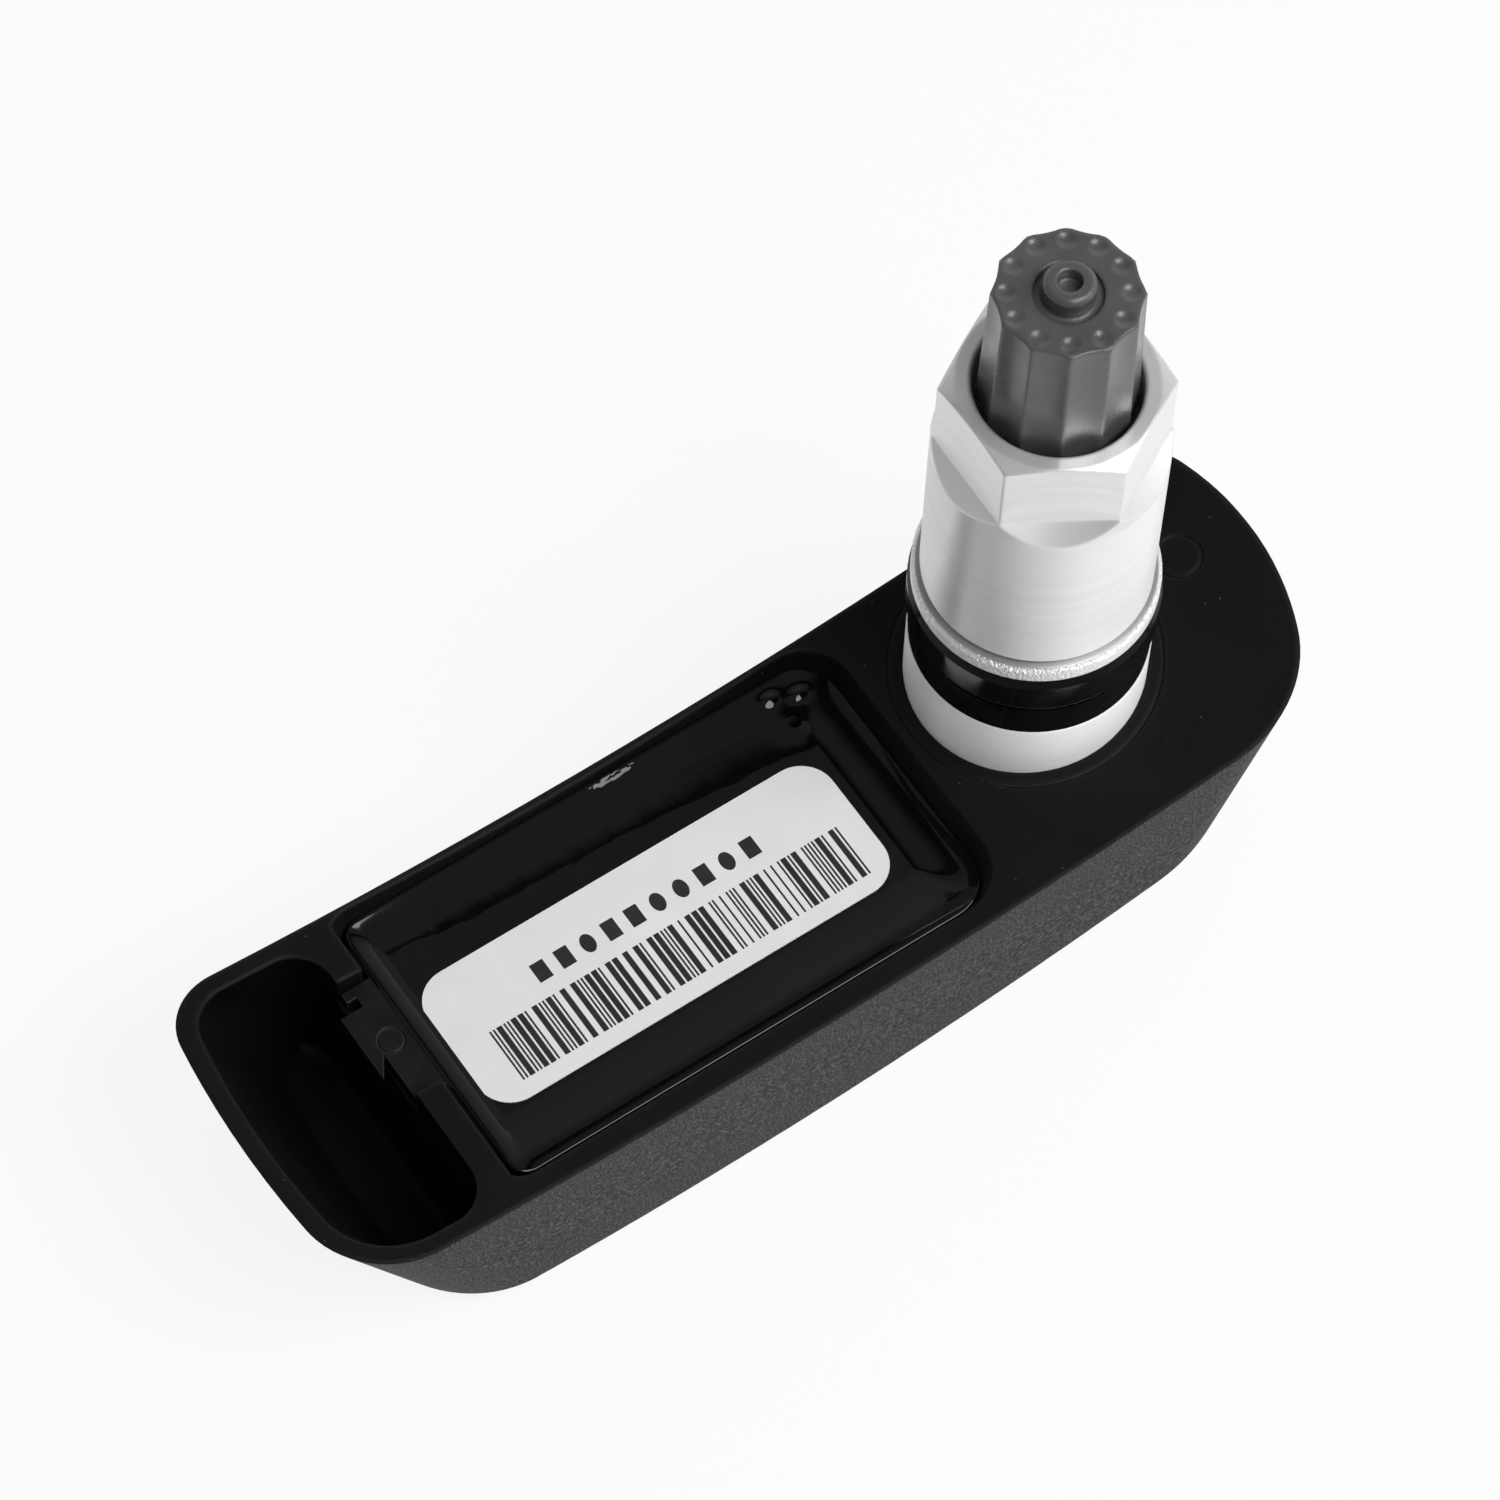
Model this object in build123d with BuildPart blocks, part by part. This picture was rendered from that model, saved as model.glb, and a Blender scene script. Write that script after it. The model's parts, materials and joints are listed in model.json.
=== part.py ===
"""Tyre pressure sensor with a clamp-in metal valve, in millimetres.

The origin is on the valve's axis, at the level where its foot leaves the carrier.
+Z runs along the valve towards its cap. +X runs along the carrier, away from its open pocket.
"""

import os
from math import cos, radians, sqrt

from build123d import *

# Carrier: the long moulded body
carrier_length = 73.75
carrier_width = 22.7
carrier_height = 13.1
short_end_from_valve = 16.15
valve_off_centre = 1.82
rim_radius = 227.0
rim_low_from_valve = 28.5
belly_radius = 150.0
belly_low_from_valve = 30.5
wall = 1.15
pocket_floor = 1.4
pocket_end_bow = 1.0
short_end_front_bow = 4.5
short_end_back_bow = 2.4
pocket_front_corner = 5.4
pocket_back_corner = 3.4
short_front_corner = 7.9
short_back_corner = 6.0
lower_corner_growth = 2.5
side_lean = 0.25
pocket_end_lean = 6.4
short_end_lean = 6.0
bottom_edge_radius = 1.4

# Open pocket at the long end
pocket_length = 9.6
pocket_divider_corner = 2.6
pocket_floor_corner = 0.8
divider = 1.8

# Tub for the electronics cup
tub_front_wall = 1.97
tub_back_wall = 0.83
tub_valve_wall = 2.2
tub_level = 2.5
tub_depth = 9.0
tub_draft = 1.5
mouth_angle = 25.0
tub_divider_corner = 1.5
tub_valve_corner = 2.8

# Lines that the mould leaves on the carrier
witness_depth = 0.12
witness_width = 0.16
seat_witness_margin = 1.0
ejector_radius = 1.4
ejector_from_valve = 11.6

# Electronics cup with its latch tab
cup_gap = 0.15
cup_divider_gap = 0.4
cup_wall = 0.7
cup_floor = 0.8
latch_length = 8.5
latch_shift = 2.6
latch_thickness = 1.1
latch_gap = 0.12
latch_reach = 2.05
latch_lap = 0.9
latch_notch = 0.7
latch_nose_length = 4.8
latch_nose_bevel = 1.4
latch_mark_radius = 0.9

# Resin in the cup
resin_below_rim = 0.45
resin_edge = 0.1
meniscus_radius = 0.42

# Label
label_divider_margin = 0.8
label_valve_margin = 3.05
label_width = 10.0
label_corner = 2.3
label_thickness = 0.12

# Circuit board and what it carries
board_gap = 0.3
board_thickness = 1.0
board_corner = 2.0
board_above_cell = 0.4
cell_side_gap = 0.95
cell_end_gap = 1.5
cell_height = 3.2
cell_edge = 0.5
cell_above_floor = 0.3
strap_width = 3.0
strap_thickness = 0.2
strap_overhang = 1.2
chip_size = 6.0
chip_height = 1.9
chip_edge = 0.2
vent_radius = 1.0
vent_bore_radius = 0.5
vent_stand = 0.1
vent_from_end = 3.4
vent_from_side = 2.95
coil_length = 9.0
coil_core_size = 1.6
coil_flange_size = 2.6
coil_flange_length = 1.2
coil_winding_growth = 0.4
coil_from_end = 12.1
crystal_length = 3.2
crystal_width = 2.5
crystal_height = 0.8
crystal_corner = 0.5
crystal_from_coil = 5.0
capacitor_length = 1.6
capacitor_width = 0.8
capacitor_pitch = 2.6
capacitor_count = 4
capacitor_from_divider = 4.0
aerial_wire_radius = 0.35
aerial_height = 2.0
aerial_bend = 0.9
aerial_from_edge = 1.2

# Valve stem
foot_radius = 7.5
foot_height = 4.4
foot_seat_depth = 6.0
foot_clearance = 0.05
foot_edge = 0.08
neck_radius = 4.9
neck_height = 2.6
stem_radius = 4.0
tip_radius = 3.6
tip_shoulder_gap = 0.4
tip_height = 39.0
tip_chamfer = 0.5
air_bore_radius = 1.5

# Hollow screw that holds the stem's foot
screw_radius = 2.5
screw_grip = 5.2
screw_hole_spare = 1.2
screw_head_radius = 4.2
screw_head_height = 1.9
screw_head_edge = 0.4
screw_floor = 1.6
screw_air_radius = 1.1
screw_socket_flats = 4.0
screw_socket_depth = 1.2
screw_clearance = 0.2

# Rubber seal on the stem
seal_height = 6.1
seal_band_radius = 7.45
seal_band_height = 2.6
seal_groove_depth = 0.45
seal_groove_width = 0.35
seal_lip_radius = 7.7
seal_lip_round = 0.5
seal_shoulder = 0.5
seal_clearance = 0.03

# Washer held on the nut's nose
washer_radius = 7.55
washer_thickness = 1.4
washer_edge = 0.3

# Sleeve nut
nut_radius = 7.05
nut_flats = 12.0
nut_length = 20.3
nut_thread_length = 8.6
nut_mouth_gap = 0.5
nut_flat_height = 5.5
nut_run_out = 1.3
nut_turn = -1.5
nut_edge = 0.4
nut_crown_width = 1.1
nut_crown_height = 0.45
nut_mouth_edge = 0.15
nose_radius = 5.0
nose_length = 1.0
nose_lip = 0.3
nose_lip_height = 0.3
thread_clearance = 0.06
swivel_clearance = 0.1

# Valve cap
cap_height = 10.9
cap_roof = 1.7
cap_wall = 0.84
cap_lean = 0.3
cap_edge = 0.15
cap_seal_thickness = 0.8
cap_seal_clearance = 0.05
cap_point_count = 12
cap_point_stand = 0.22
cap_point_turn = -3.6
cap_flute_depth = 0.13
cap_scoop_radius = 1.0
cap_scoop_depth = 0.19
cap_scoop_from_point = 0.9
nipple_radius = 1.55
nipple_height = 1.2
nipple_edge = 0.25
dimple_radius = 0.75
dimple_depth = 0.9
moat_width = 0.5
moat_depth = 0.3

# Valve core
core_radius = 2.6
core_plug_length = 5.6
core_below_tip = 0.9
core_clearance = 0.06
core_cone_length = 1.8
core_sleeve_radius = 1.75
core_sleeve_length = 9.5
core_sleeve_gap = 0.3
core_lip = 0.9
core_bridge_width = 1.8
core_bridge_height = 2.2
core_seal_height = 1.2
core_seal_gap = 0.05
spring_room_radius = 1.4
spring_wire_radius = 0.15
spring_turns = 6
spring_gap = 0.1
pin_radius = 0.6
pin_clearance = 0.08
pin_below_tip = 0.3
pin_collar_radius = 1.25
pin_collar_height = 0.4
pin_collar_gap = 0.5
pin_flange_radius = 1.0
pin_flange_height = 0.5
pin_travel = 1.4
pin_end_gap = 0.4
core_cup_radius = 1.65
core_cup_height = 1.3
core_cup_clearance = 0.02

# Places along the carrier
centre_y = -valve_off_centre
short_x = short_end_from_valve
pocket_x = short_x - carrier_length
rim_low_x = -rim_low_from_valve
rim_centre_z = sqrt(rim_radius**2 - rim_low_x**2)
belly_low_x = -belly_low_from_valve
bottom_z = rim_centre_z - rim_radius - carrier_height
belly_centre_z = bottom_z + belly_radius
divider_x = pocket_x + wall + pocket_length
tub_x = divider_x + divider
tub_end_x = -foot_radius - foot_clearance - tub_valve_wall
tub_length = tub_end_x - tub_x
tub_width = carrier_width - tub_front_wall - tub_back_wall
tub_y = centre_y + (tub_front_wall - tub_back_wall) / 2
tub_floor_z = -tub_level - tub_depth
through = 2 * carrier_width


def rim_z(x):
    """Height of the curved rim face at a place along the carrier."""
    return rim_centre_z - sqrt(rim_radius**2 - (x - rim_low_x) ** 2)


top_z = max(rim_z(short_x), rim_z(pocket_x))
pocket_end_flare = pocket_end_lean * (top_z - rim_z(pocket_x)) / (rim_z(pocket_x) - bottom_z)
side_flare = side_lean * top_z / -bottom_z

# Places in the electronics cup
cup_rim_z = -tub_level
cup_floor_z = tub_floor_z + cup_floor
cup_x = tub_x + cup_divider_gap
cup_length = tub_length - cup_divider_gap - cup_gap
cup_width = tub_width - 2 * cup_gap
cup_end_x = cup_x + cup_length
cup_room_x = cup_x + cup_wall
cup_room_end_x = cup_end_x - cup_wall
cup_room_width = cup_width - 2 * cup_wall
resin_z = cup_rim_z - resin_below_rim
latch_y = centre_y + latch_shift
latch_back_y = latch_y + latch_length / 2
latch_front_y = latch_y - latch_length / 2
latch_x = cup_x - latch_reach
latch_nose_x = latch_x - latch_lap
latch_nose_y = latch_back_y - 2 * latch_notch - latch_nose_length
label_x = cup_room_x + label_divider_margin
label_length = cup_room_end_x - label_valve_margin - label_x
cell_radius = cup_room_width / 2 - cell_side_gap
cell_x = cup_room_x + cell_end_gap + cell_radius
cell_z = cup_floor_z + cell_above_floor
cell_top_z = cell_z + cell_height
board_z = cell_top_z + board_above_cell
board_top_z = board_z + board_thickness
board_x = cup_room_x + board_gap
board_end_x = cup_room_end_x - board_gap
board_length = board_end_x - board_x
board_width = cup_room_width - 2 * board_gap
vent_x = cup_end_x - vent_from_end
vent_y = tub_y + cup_width / 2 - vent_from_side
chip_top_z = board_top_z + chip_height
strap_x = cell_x + cell_radius + strap_overhang

# Places along the valve
seal_top_z = foot_height + seal_height
nut_z = seal_top_z + washer_thickness
nut_top_z = nut_z + nut_length
cap_roof_z = tip_height + cap_seal_thickness
cap_top_z = cap_roof_z + cap_roof
cap_skirt_z = cap_top_z - cap_height
tip_z = cap_skirt_z - tip_shoulder_gap
cap_bore_radius = tip_radius + thread_clearance
cap_skirt_radius = cap_bore_radius + cap_wall
cap_top_radius = cap_skirt_radius - cap_lean
nut_mouth_radius = cap_skirt_radius + nut_mouth_gap
screw_seat_z = -foot_seat_depth - screw_floor
core_top_z = tip_height - core_below_tip
core_cone_z = core_top_z - core_plug_length
core_sleeve_z = core_cone_z - core_cone_length
core_end_z = core_sleeve_z - core_sleeve_length
core_hole_radius = core_radius + core_clearance
core_room_radius = core_sleeve_radius + core_sleeve_gap
core_room_z = core_end_z - core_cup_height - pin_flange_height - pin_travel - pin_end_gap
pin_collar_z = core_sleeve_z - pin_collar_gap - pin_collar_height


def write(builder, name):
    """Labels a finished piece and writes it under the same name."""
    builder.part.label = name
    export_step(builder.part, f"parts/{name}.step")


def hull_outline(z, inset, pocket_lean, short_lean, lean, growth):
    """Outline with straight sides, bowed ends and round corners, at one height of the carrier."""
    half = carrier_width / 2 - inset - lean
    far_x = pocket_x + inset + pocket_lean
    near_x = short_x - inset - short_lean
    far_side_x = far_x + pocket_end_bow
    near_front_x = near_x - short_end_front_bow
    near_back_x = near_x - short_end_back_bow
    front_y = centre_y - half
    back_y = centre_y + half
    with BuildSketch(Plane.XY.offset(z)) as outline:
        with BuildLine():
            Line((far_side_x, front_y), (near_front_x, front_y))
            ThreePointArc((near_front_x, front_y), (near_x, centre_y), (near_back_x, back_y))
            Line((near_back_x, back_y), (far_side_x, back_y))
            ThreePointArc((far_side_x, back_y), (far_x, centre_y), (far_side_x, front_y))
        make_face()
        rounding = growth - inset
        fillet(outline.vertices().group_by(Axis.Y)[0].sort_by(Axis.X)[0], pocket_front_corner + rounding)
        fillet(outline.vertices().group_by(Axis.Y)[0].sort_by(Axis.X)[-1], short_front_corner + rounding)
        fillet(outline.vertices().group_by(Axis.Y)[-1].sort_by(Axis.X)[0], pocket_back_corner + rounding)
        fillet(outline.vertices().group_by(Axis.Y)[-1].sort_by(Axis.X)[-1], short_back_corner + rounding)
    return outline.sketch


def hull_sections(inset):
    """The narrow outline at the carrier's bottom and the wide one at its top, drawn in by the inset."""
    lower = hull_outline(bottom_z, inset, pocket_end_lean, short_end_lean, side_lean, lower_corner_growth)
    upper = hull_outline(top_z, inset, -pocket_end_flare, 0, -side_flare, 0)
    return [lower, upper]


def side_disc(x, z, radius):
    """Large disc seen from the side, whose edge is an arc along the carrier."""
    with BuildSketch(Plane.XZ) as disc:
        with Locations((x, z)):
            Circle(radius)
    return disc.sketch


def tub_outline(z, x, length, width, inset):
    """Rectangle of the tub or the cup, with tight corners at the divider and wide ones at the valve."""
    with BuildSketch(Plane.XY.offset(z)) as outline:
        with Locations((x + length / 2, tub_y)):
            Rectangle(length - 2 * inset, width - 2 * inset)
        fillet(outline.vertices().group_by(Axis.X)[0], tub_divider_corner - inset)
        fillet(outline.vertices().group_by(Axis.X)[-1], tub_valve_corner - inset)
    return outline.sketch


def cup_outline(inset):
    """The cup's outline at its rim, drawn in by the inset."""
    return tub_outline(cup_rim_z, cup_x, cup_length, cup_width, inset)


def ring(z, x, radius):
    """Thin ring for a witness line, at one height."""
    with BuildSketch(Plane.XY.offset(z)) as outline:
        with Locations((x, 0)):
            Circle(radius + witness_width / 2)
            Circle(radius - witness_width / 2, mode=Mode.SUBTRACT)
    return outline.sketch


os.makedirs("parts", exist_ok=True)

# Hollow of the open pocket, made from the carrier's own outlines
with BuildPart() as pocket_hollow:
    loft(sections=hull_sections(wall), ruled=True)
    with BuildSketch(Plane.XY.offset(bottom_z)) as pocket_plan:
        with Locations((divider_x - pocket_length, centre_y)):
            Rectangle(2 * pocket_length, carrier_width - 2 * wall)
        fillet(pocket_plan.vertices().group_by(Axis.X)[-1], pocket_divider_corner)
    extrude(amount=top_z - bottom_z, mode=Mode.INTERSECT)
    pocket_arc = side_disc(belly_low_x, belly_centre_z, belly_radius - pocket_floor)
    extrude(pocket_arc, amount=through, both=True, mode=Mode.INTERSECT)
    fillet(pocket_hollow.faces().sort_by(Axis.Z)[0].edges(), pocket_floor_corner)

# Mouth of the tub, which opens outwards on the three sides away from the divider
with BuildPart() as tub_mouth:
    tub_rim = tub_outline(cup_rim_z, tub_x, tub_length, tub_width, 0)
    extrude(tub_rim, amount=top_z - cup_rim_z, taper=-mouth_angle)
    split(bisect_by=Plane.YZ.offset(tub_x), keep=Keep.TOP)

# Witness lines, pressed a little way into the rim face
with BuildPart() as witness_lines:
    extrude(ring(cup_rim_z, 0, foot_radius + seat_witness_margin), amount=top_z - cup_rim_z)
    extrude(ring(cup_rim_z, ejector_from_valve, ejector_radius), amount=top_z - cup_rim_z)
    witness_arc = side_disc(rim_low_x, rim_centre_z, rim_radius + witness_depth)
    extrude(witness_arc, amount=through, both=True, mode=Mode.INTERSECT)

# Carrier
with BuildPart() as carrier:
    loft(sections=hull_sections(0), ruled=True)
    extrude(side_disc(belly_low_x, belly_centre_z, belly_radius), amount=through, both=True, mode=Mode.INTERSECT)
    extrude(side_disc(rim_low_x, rim_centre_z, rim_radius), amount=through, both=True, mode=Mode.SUBTRACT)
    fillet(carrier.faces().sort_by(Axis.Z)[0].edges(), bottom_edge_radius)
    add(pocket_hollow.part, mode=Mode.SUBTRACT)
    extrude(tub_rim, amount=-tub_depth, taper=tub_draft, mode=Mode.SUBTRACT)
    add(tub_mouth.part, mode=Mode.SUBTRACT)
    add(witness_lines.part, mode=Mode.SUBTRACT)
    # Notch in the divider for the cup's latch tab
    with BuildSketch(Plane.XY.offset(cup_rim_z - latch_thickness)):
        with Locations((divider_x + divider / 2, latch_y)):
            Rectangle(2 * divider, latch_length + 2 * latch_gap)
    extrude(amount=top_z - cup_rim_z + latch_thickness, mode=Mode.SUBTRACT)
    # Seat of the valve's foot, and the way through to the screw below
    with BuildSketch(Plane.XY.offset(-foot_seat_depth)):
        Circle(foot_radius + foot_clearance)
    extrude(amount=foot_seat_depth + top_z, mode=Mode.SUBTRACT)
    with BuildSketch(Plane.XY.offset(screw_seat_z)):
        Circle(screw_radius + screw_clearance)
    extrude(amount=screw_floor, mode=Mode.SUBTRACT)
    with BuildSketch(Plane.XY.offset(screw_seat_z)):
        Circle(screw_head_radius + screw_clearance)
    extrude(amount=bottom_z - screw_seat_z, mode=Mode.SUBTRACT)
write(carrier, "carrier")

# Electronics cup
with BuildPart() as electronics_cup:
    extrude(cup_outline(0), amount=-tub_depth, taper=tub_draft)
    extrude(cup_outline(cup_wall), amount=cup_floor - tub_depth, taper=tub_draft, mode=Mode.SUBTRACT)
    # Latch tab, with a notch at its back corner and a slanted end to its nose
    with BuildSketch(Plane.XY.offset(cup_rim_z)):
        with BuildLine():
            Polyline(
                (cup_room_x, latch_back_y),
                (latch_x, latch_back_y),
                (latch_x, latch_back_y - latch_notch),
                (latch_x + latch_notch, latch_back_y - latch_notch),
                (latch_x + latch_notch, latch_back_y - 2 * latch_notch),
                (latch_nose_x, latch_back_y - 2 * latch_notch),
                (latch_nose_x, latch_nose_y),
                (latch_x, latch_nose_y + latch_nose_bevel),
                (latch_x, latch_front_y),
                (cup_room_x, latch_front_y),
                close=True,
            )
        make_face()
    extrude(amount=-latch_thickness)
    with BuildSketch(Plane.XY.offset(cup_rim_z)):
        with Locations((latch_x + latch_mark_radius, latch_y)):
            Circle(latch_mark_radius)
            Circle(latch_mark_radius - witness_width, mode=Mode.SUBTRACT)
    extrude(amount=-witness_depth, mode=Mode.SUBTRACT)
write(electronics_cup, "electronics_cup")

# Circuit board
with BuildPart() as circuit_board:
    with BuildSketch(Plane.XY.offset(board_z)):
        with Locations((board_x + board_length / 2, tub_y)):
            RectangleRounded(board_length, board_width, board_corner)
    extrude(amount=board_thickness)
write(circuit_board, "circuit_board")

# Coin cell below the board
with BuildPart() as coin_cell:
    with BuildSketch(Plane.XY.offset(cell_z)):
        with Locations((cell_x, tub_y)):
            Circle(cell_radius)
    extrude(amount=cell_height)
    fillet(coin_cell.faces().sort_by(Axis.Z)[0].edges(), cell_edge)
write(coin_cell, "coin_cell")

# Strap from the cell's lower face up to the board
with BuildPart() as cell_strap_lower:
    with BuildSketch(Plane.XY.offset(cell_z)):
        with Locations(((cell_x + strap_x + strap_thickness) / 2, tub_y)):
            Rectangle(strap_x + strap_thickness - cell_x, strap_width)
    extrude(amount=-strap_thickness)
    with BuildSketch(Plane.XY.offset(cell_z)):
        with Locations((strap_x + strap_thickness / 2, tub_y)):
            Rectangle(strap_thickness, strap_width)
    extrude(amount=board_z - cell_z)
write(cell_strap_lower, "cell_strap_lower")

# Strap from the cell's upper face to the board
with BuildPart() as cell_strap_upper:
    with BuildSketch(Plane.XY.offset(cell_top_z)):
        with Locations((cell_x, tub_y)):
            Rectangle(cell_radius, strap_width)
    extrude(amount=strap_thickness)
    with BuildSketch(Plane.XY.offset(cell_top_z)):
        with Locations((cell_x - cell_radius / 2 + strap_thickness / 2, tub_y)):
            Rectangle(strap_thickness, strap_width)
    extrude(amount=board_above_cell)
write(cell_strap_upper, "cell_strap_upper")

# Pressure chip, with its inlet under the vent
chip_x = vent_x - chip_size / 2 + vent_radius + chip_edge
chip_y = vent_y - chip_size / 2 + vent_radius + chip_edge
with BuildPart() as pressure_chip:
    with BuildSketch(Plane.XY.offset(board_top_z)):
        with Locations((chip_x, chip_y)):
            Rectangle(chip_size, chip_size)
    extrude(amount=chip_height)
    chamfer(pressure_chip.faces().sort_by(Axis.Z)[-1].edges(), chip_edge)
    with BuildSketch(Plane.XY.offset(chip_top_z)):
        with Locations((vent_x, vent_y)):
            Circle(vent_bore_radius)
    extrude(amount=-chip_height / 2, mode=Mode.SUBTRACT)
write(pressure_chip, "pressure_chip")

# Vent tube from the chip's inlet to just above the resin
with BuildPart() as vent_tube:
    with BuildSketch(Plane.XY.offset(chip_top_z)):
        with Locations((vent_x, vent_y)):
            Circle(vent_radius)
            Circle(vent_bore_radius, mode=Mode.SUBTRACT)
    extrude(amount=resin_z + vent_stand - chip_top_z)
write(vent_tube, "vent_tube")

# Wake-up coil: a ferrite bobbin lying across the board
coil_x = cup_end_x - coil_from_end
coil_z = board_top_z + coil_flange_size / 2
with BuildPart() as coil_core:
    with BuildSketch(Plane((coil_x, tub_y, coil_z), x_dir=(1, 0, 0), z_dir=(0, 1, 0))):
        Rectangle(coil_core_size, coil_core_size)
    extrude(amount=coil_length / 2, both=True)
    for flange_y in (tub_y - coil_length / 2, tub_y + coil_length / 2 - coil_flange_length):
        with BuildSketch(Plane((coil_x, flange_y, coil_z), x_dir=(1, 0, 0), z_dir=(0, 1, 0))):
            Rectangle(coil_flange_size, coil_flange_size)
        extrude(amount=coil_flange_length)
write(coil_core, "coil_core")

coil_winding_size = coil_core_size + coil_winding_growth
with BuildPart() as coil_winding:
    with BuildSketch(Plane((coil_x, tub_y, coil_z), x_dir=(1, 0, 0), z_dir=(0, 1, 0))):
        RectangleRounded(coil_winding_size, coil_winding_size, coil_winding_growth / 2)
        Rectangle(coil_core_size, coil_core_size, mode=Mode.SUBTRACT)
    extrude(amount=coil_length / 2 - coil_flange_length, both=True)
write(coil_winding, "coil_winding")

# Crystal can beside the coil
with BuildPart() as crystal:
    with BuildSketch(Plane.XY.offset(board_top_z)):
        with Locations((coil_x - crystal_from_coil, tub_y)):
            RectangleRounded(crystal_length, crystal_width, crystal_corner)
    extrude(amount=crystal_height)
write(crystal, "crystal")

# Row of chip capacitors
with BuildPart() as chip_capacitors:
    with BuildSketch(Plane.XY.offset(board_top_z)):
        with Locations((cup_x + capacitor_from_divider, tub_y)):
            with GridLocations(capacitor_pitch, capacitor_pitch, 1, capacitor_count):
                Rectangle(capacitor_length, capacitor_width)
    extrude(amount=capacitor_width)
write(chip_capacitors, "chip_capacitors")

# Aerial: a wire bow along the front edge of the board
aerial_y = tub_y - board_width / 2 + aerial_from_edge
aerial_left_x = board_x + aerial_from_edge
aerial_right_x = board_end_x - aerial_from_edge
with BuildPart() as aerial:
    with BuildLine() as aerial_route:
        FilletPolyline(
            (aerial_left_x, aerial_y, board_top_z),
            (aerial_left_x, aerial_y, board_top_z + aerial_height),
            (aerial_right_x, aerial_y, board_top_z + aerial_height),
            (aerial_right_x, aerial_y, board_top_z),
            radius=aerial_bend,
        )
    with BuildSketch(Plane((aerial_left_x, aerial_y, board_top_z))):
        Circle(aerial_wire_radius)
    sweep(path=aerial_route.line)
write(aerial, "aerial")

# Resin round the electronics, drawn up at the cup's walls
with BuildPart() as resin_dish:
    extrude(cup_outline(cup_wall + resin_edge), amount=-resin_below_rim)
    fillet(resin_dish.faces().sort_by(Axis.Z)[0].edges(), meniscus_radius)

embedded = (circuit_board, coin_cell, cell_strap_lower, cell_strap_upper, pressure_chip, vent_tube, coil_core,
            coil_winding, crystal, chip_capacitors, aerial)
with BuildPart() as resin:
    extrude(cup_outline(cup_wall), amount=cup_floor - tub_depth, taper=tub_draft)
    add(resin_dish.part, mode=Mode.SUBTRACT)
    for piece in embedded:
        add(piece.part, mode=Mode.SUBTRACT)
    # Inlets of the vent and the chip stay clear
    with BuildSketch(Plane.XY.offset(chip_top_z - chip_height / 2)):
        with Locations((vent_x, vent_y)):
            Circle(vent_bore_radius)
    extrude(amount=cup_rim_z - chip_top_z + chip_height / 2, mode=Mode.SUBTRACT)
write(resin, "resin")

# Label on the resin
with BuildPart() as label:
    with BuildSketch(Plane.XY.offset(resin_z)):
        with Locations((label_x + label_length / 2, centre_y)):
            RectangleRounded(label_length, label_width, label_corner)
    extrude(amount=label_thickness)
write(label, "label")

# Valve stem, turned from bar and bored for air, screw and core
with BuildPart() as valve_stem:
    with BuildSketch(Plane.XZ):
        with BuildLine():
            Polyline(
                (0, -foot_seat_depth),
                (foot_radius, -foot_seat_depth),
                (foot_radius, foot_height - foot_edge),
                (foot_radius - foot_edge, foot_height),
                (neck_radius, foot_height),
                (neck_radius, foot_height + neck_height),
                (stem_radius, foot_height + neck_height),
                (stem_radius, tip_z),
                (tip_radius, tip_z),
                (tip_radius, tip_height - tip_chamfer),
                (tip_radius - tip_chamfer, tip_height),
                (0, tip_height),
                close=True,
            )
        make_face()
        with BuildLine():
            Polyline(
                (0, tip_height),
                (core_hole_radius, tip_height),
                (core_hole_radius, core_cone_z),
                (core_room_radius, core_sleeve_z),
                (core_room_radius, core_room_z),
                (air_bore_radius, core_room_z),
                (air_bore_radius, screw_grip + screw_hole_spare - foot_seat_depth),
                (screw_radius + thread_clearance, screw_grip + screw_hole_spare - foot_seat_depth),
                (screw_radius + thread_clearance, -foot_seat_depth),
                (0, -foot_seat_depth),
                close=True,
            )
        make_face(mode=Mode.SUBTRACT)
    revolve(axis=Axis.Z)
write(valve_stem, "valve_stem")

# Hollow screw, put in from the carrier's underside
with BuildPart() as hollow_screw:
    with BuildSketch(Plane.XY.offset(screw_seat_z)):
        Circle(screw_head_radius)
    extrude(amount=-screw_head_height)
    chamfer(hollow_screw.faces().sort_by(Axis.Z)[0].edges(), screw_head_edge)
    with BuildSketch(Plane.XY.offset(screw_seat_z)):
        Circle(screw_radius)
    extrude(amount=screw_floor + screw_grip)
    with BuildSketch(Plane.XY.offset(screw_seat_z - screw_head_height)):
        Circle(screw_air_radius)
    extrude(amount=screw_head_height + screw_floor + screw_grip, mode=Mode.SUBTRACT)
    with BuildSketch(Plane.XY.offset(screw_seat_z - screw_head_height)):
        RegularPolygon(screw_socket_flats / 2, 6, major_radius=False)
    extrude(amount=screw_socket_depth, mode=Mode.SUBTRACT)
write(hollow_screw, "hollow_screw")

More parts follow.
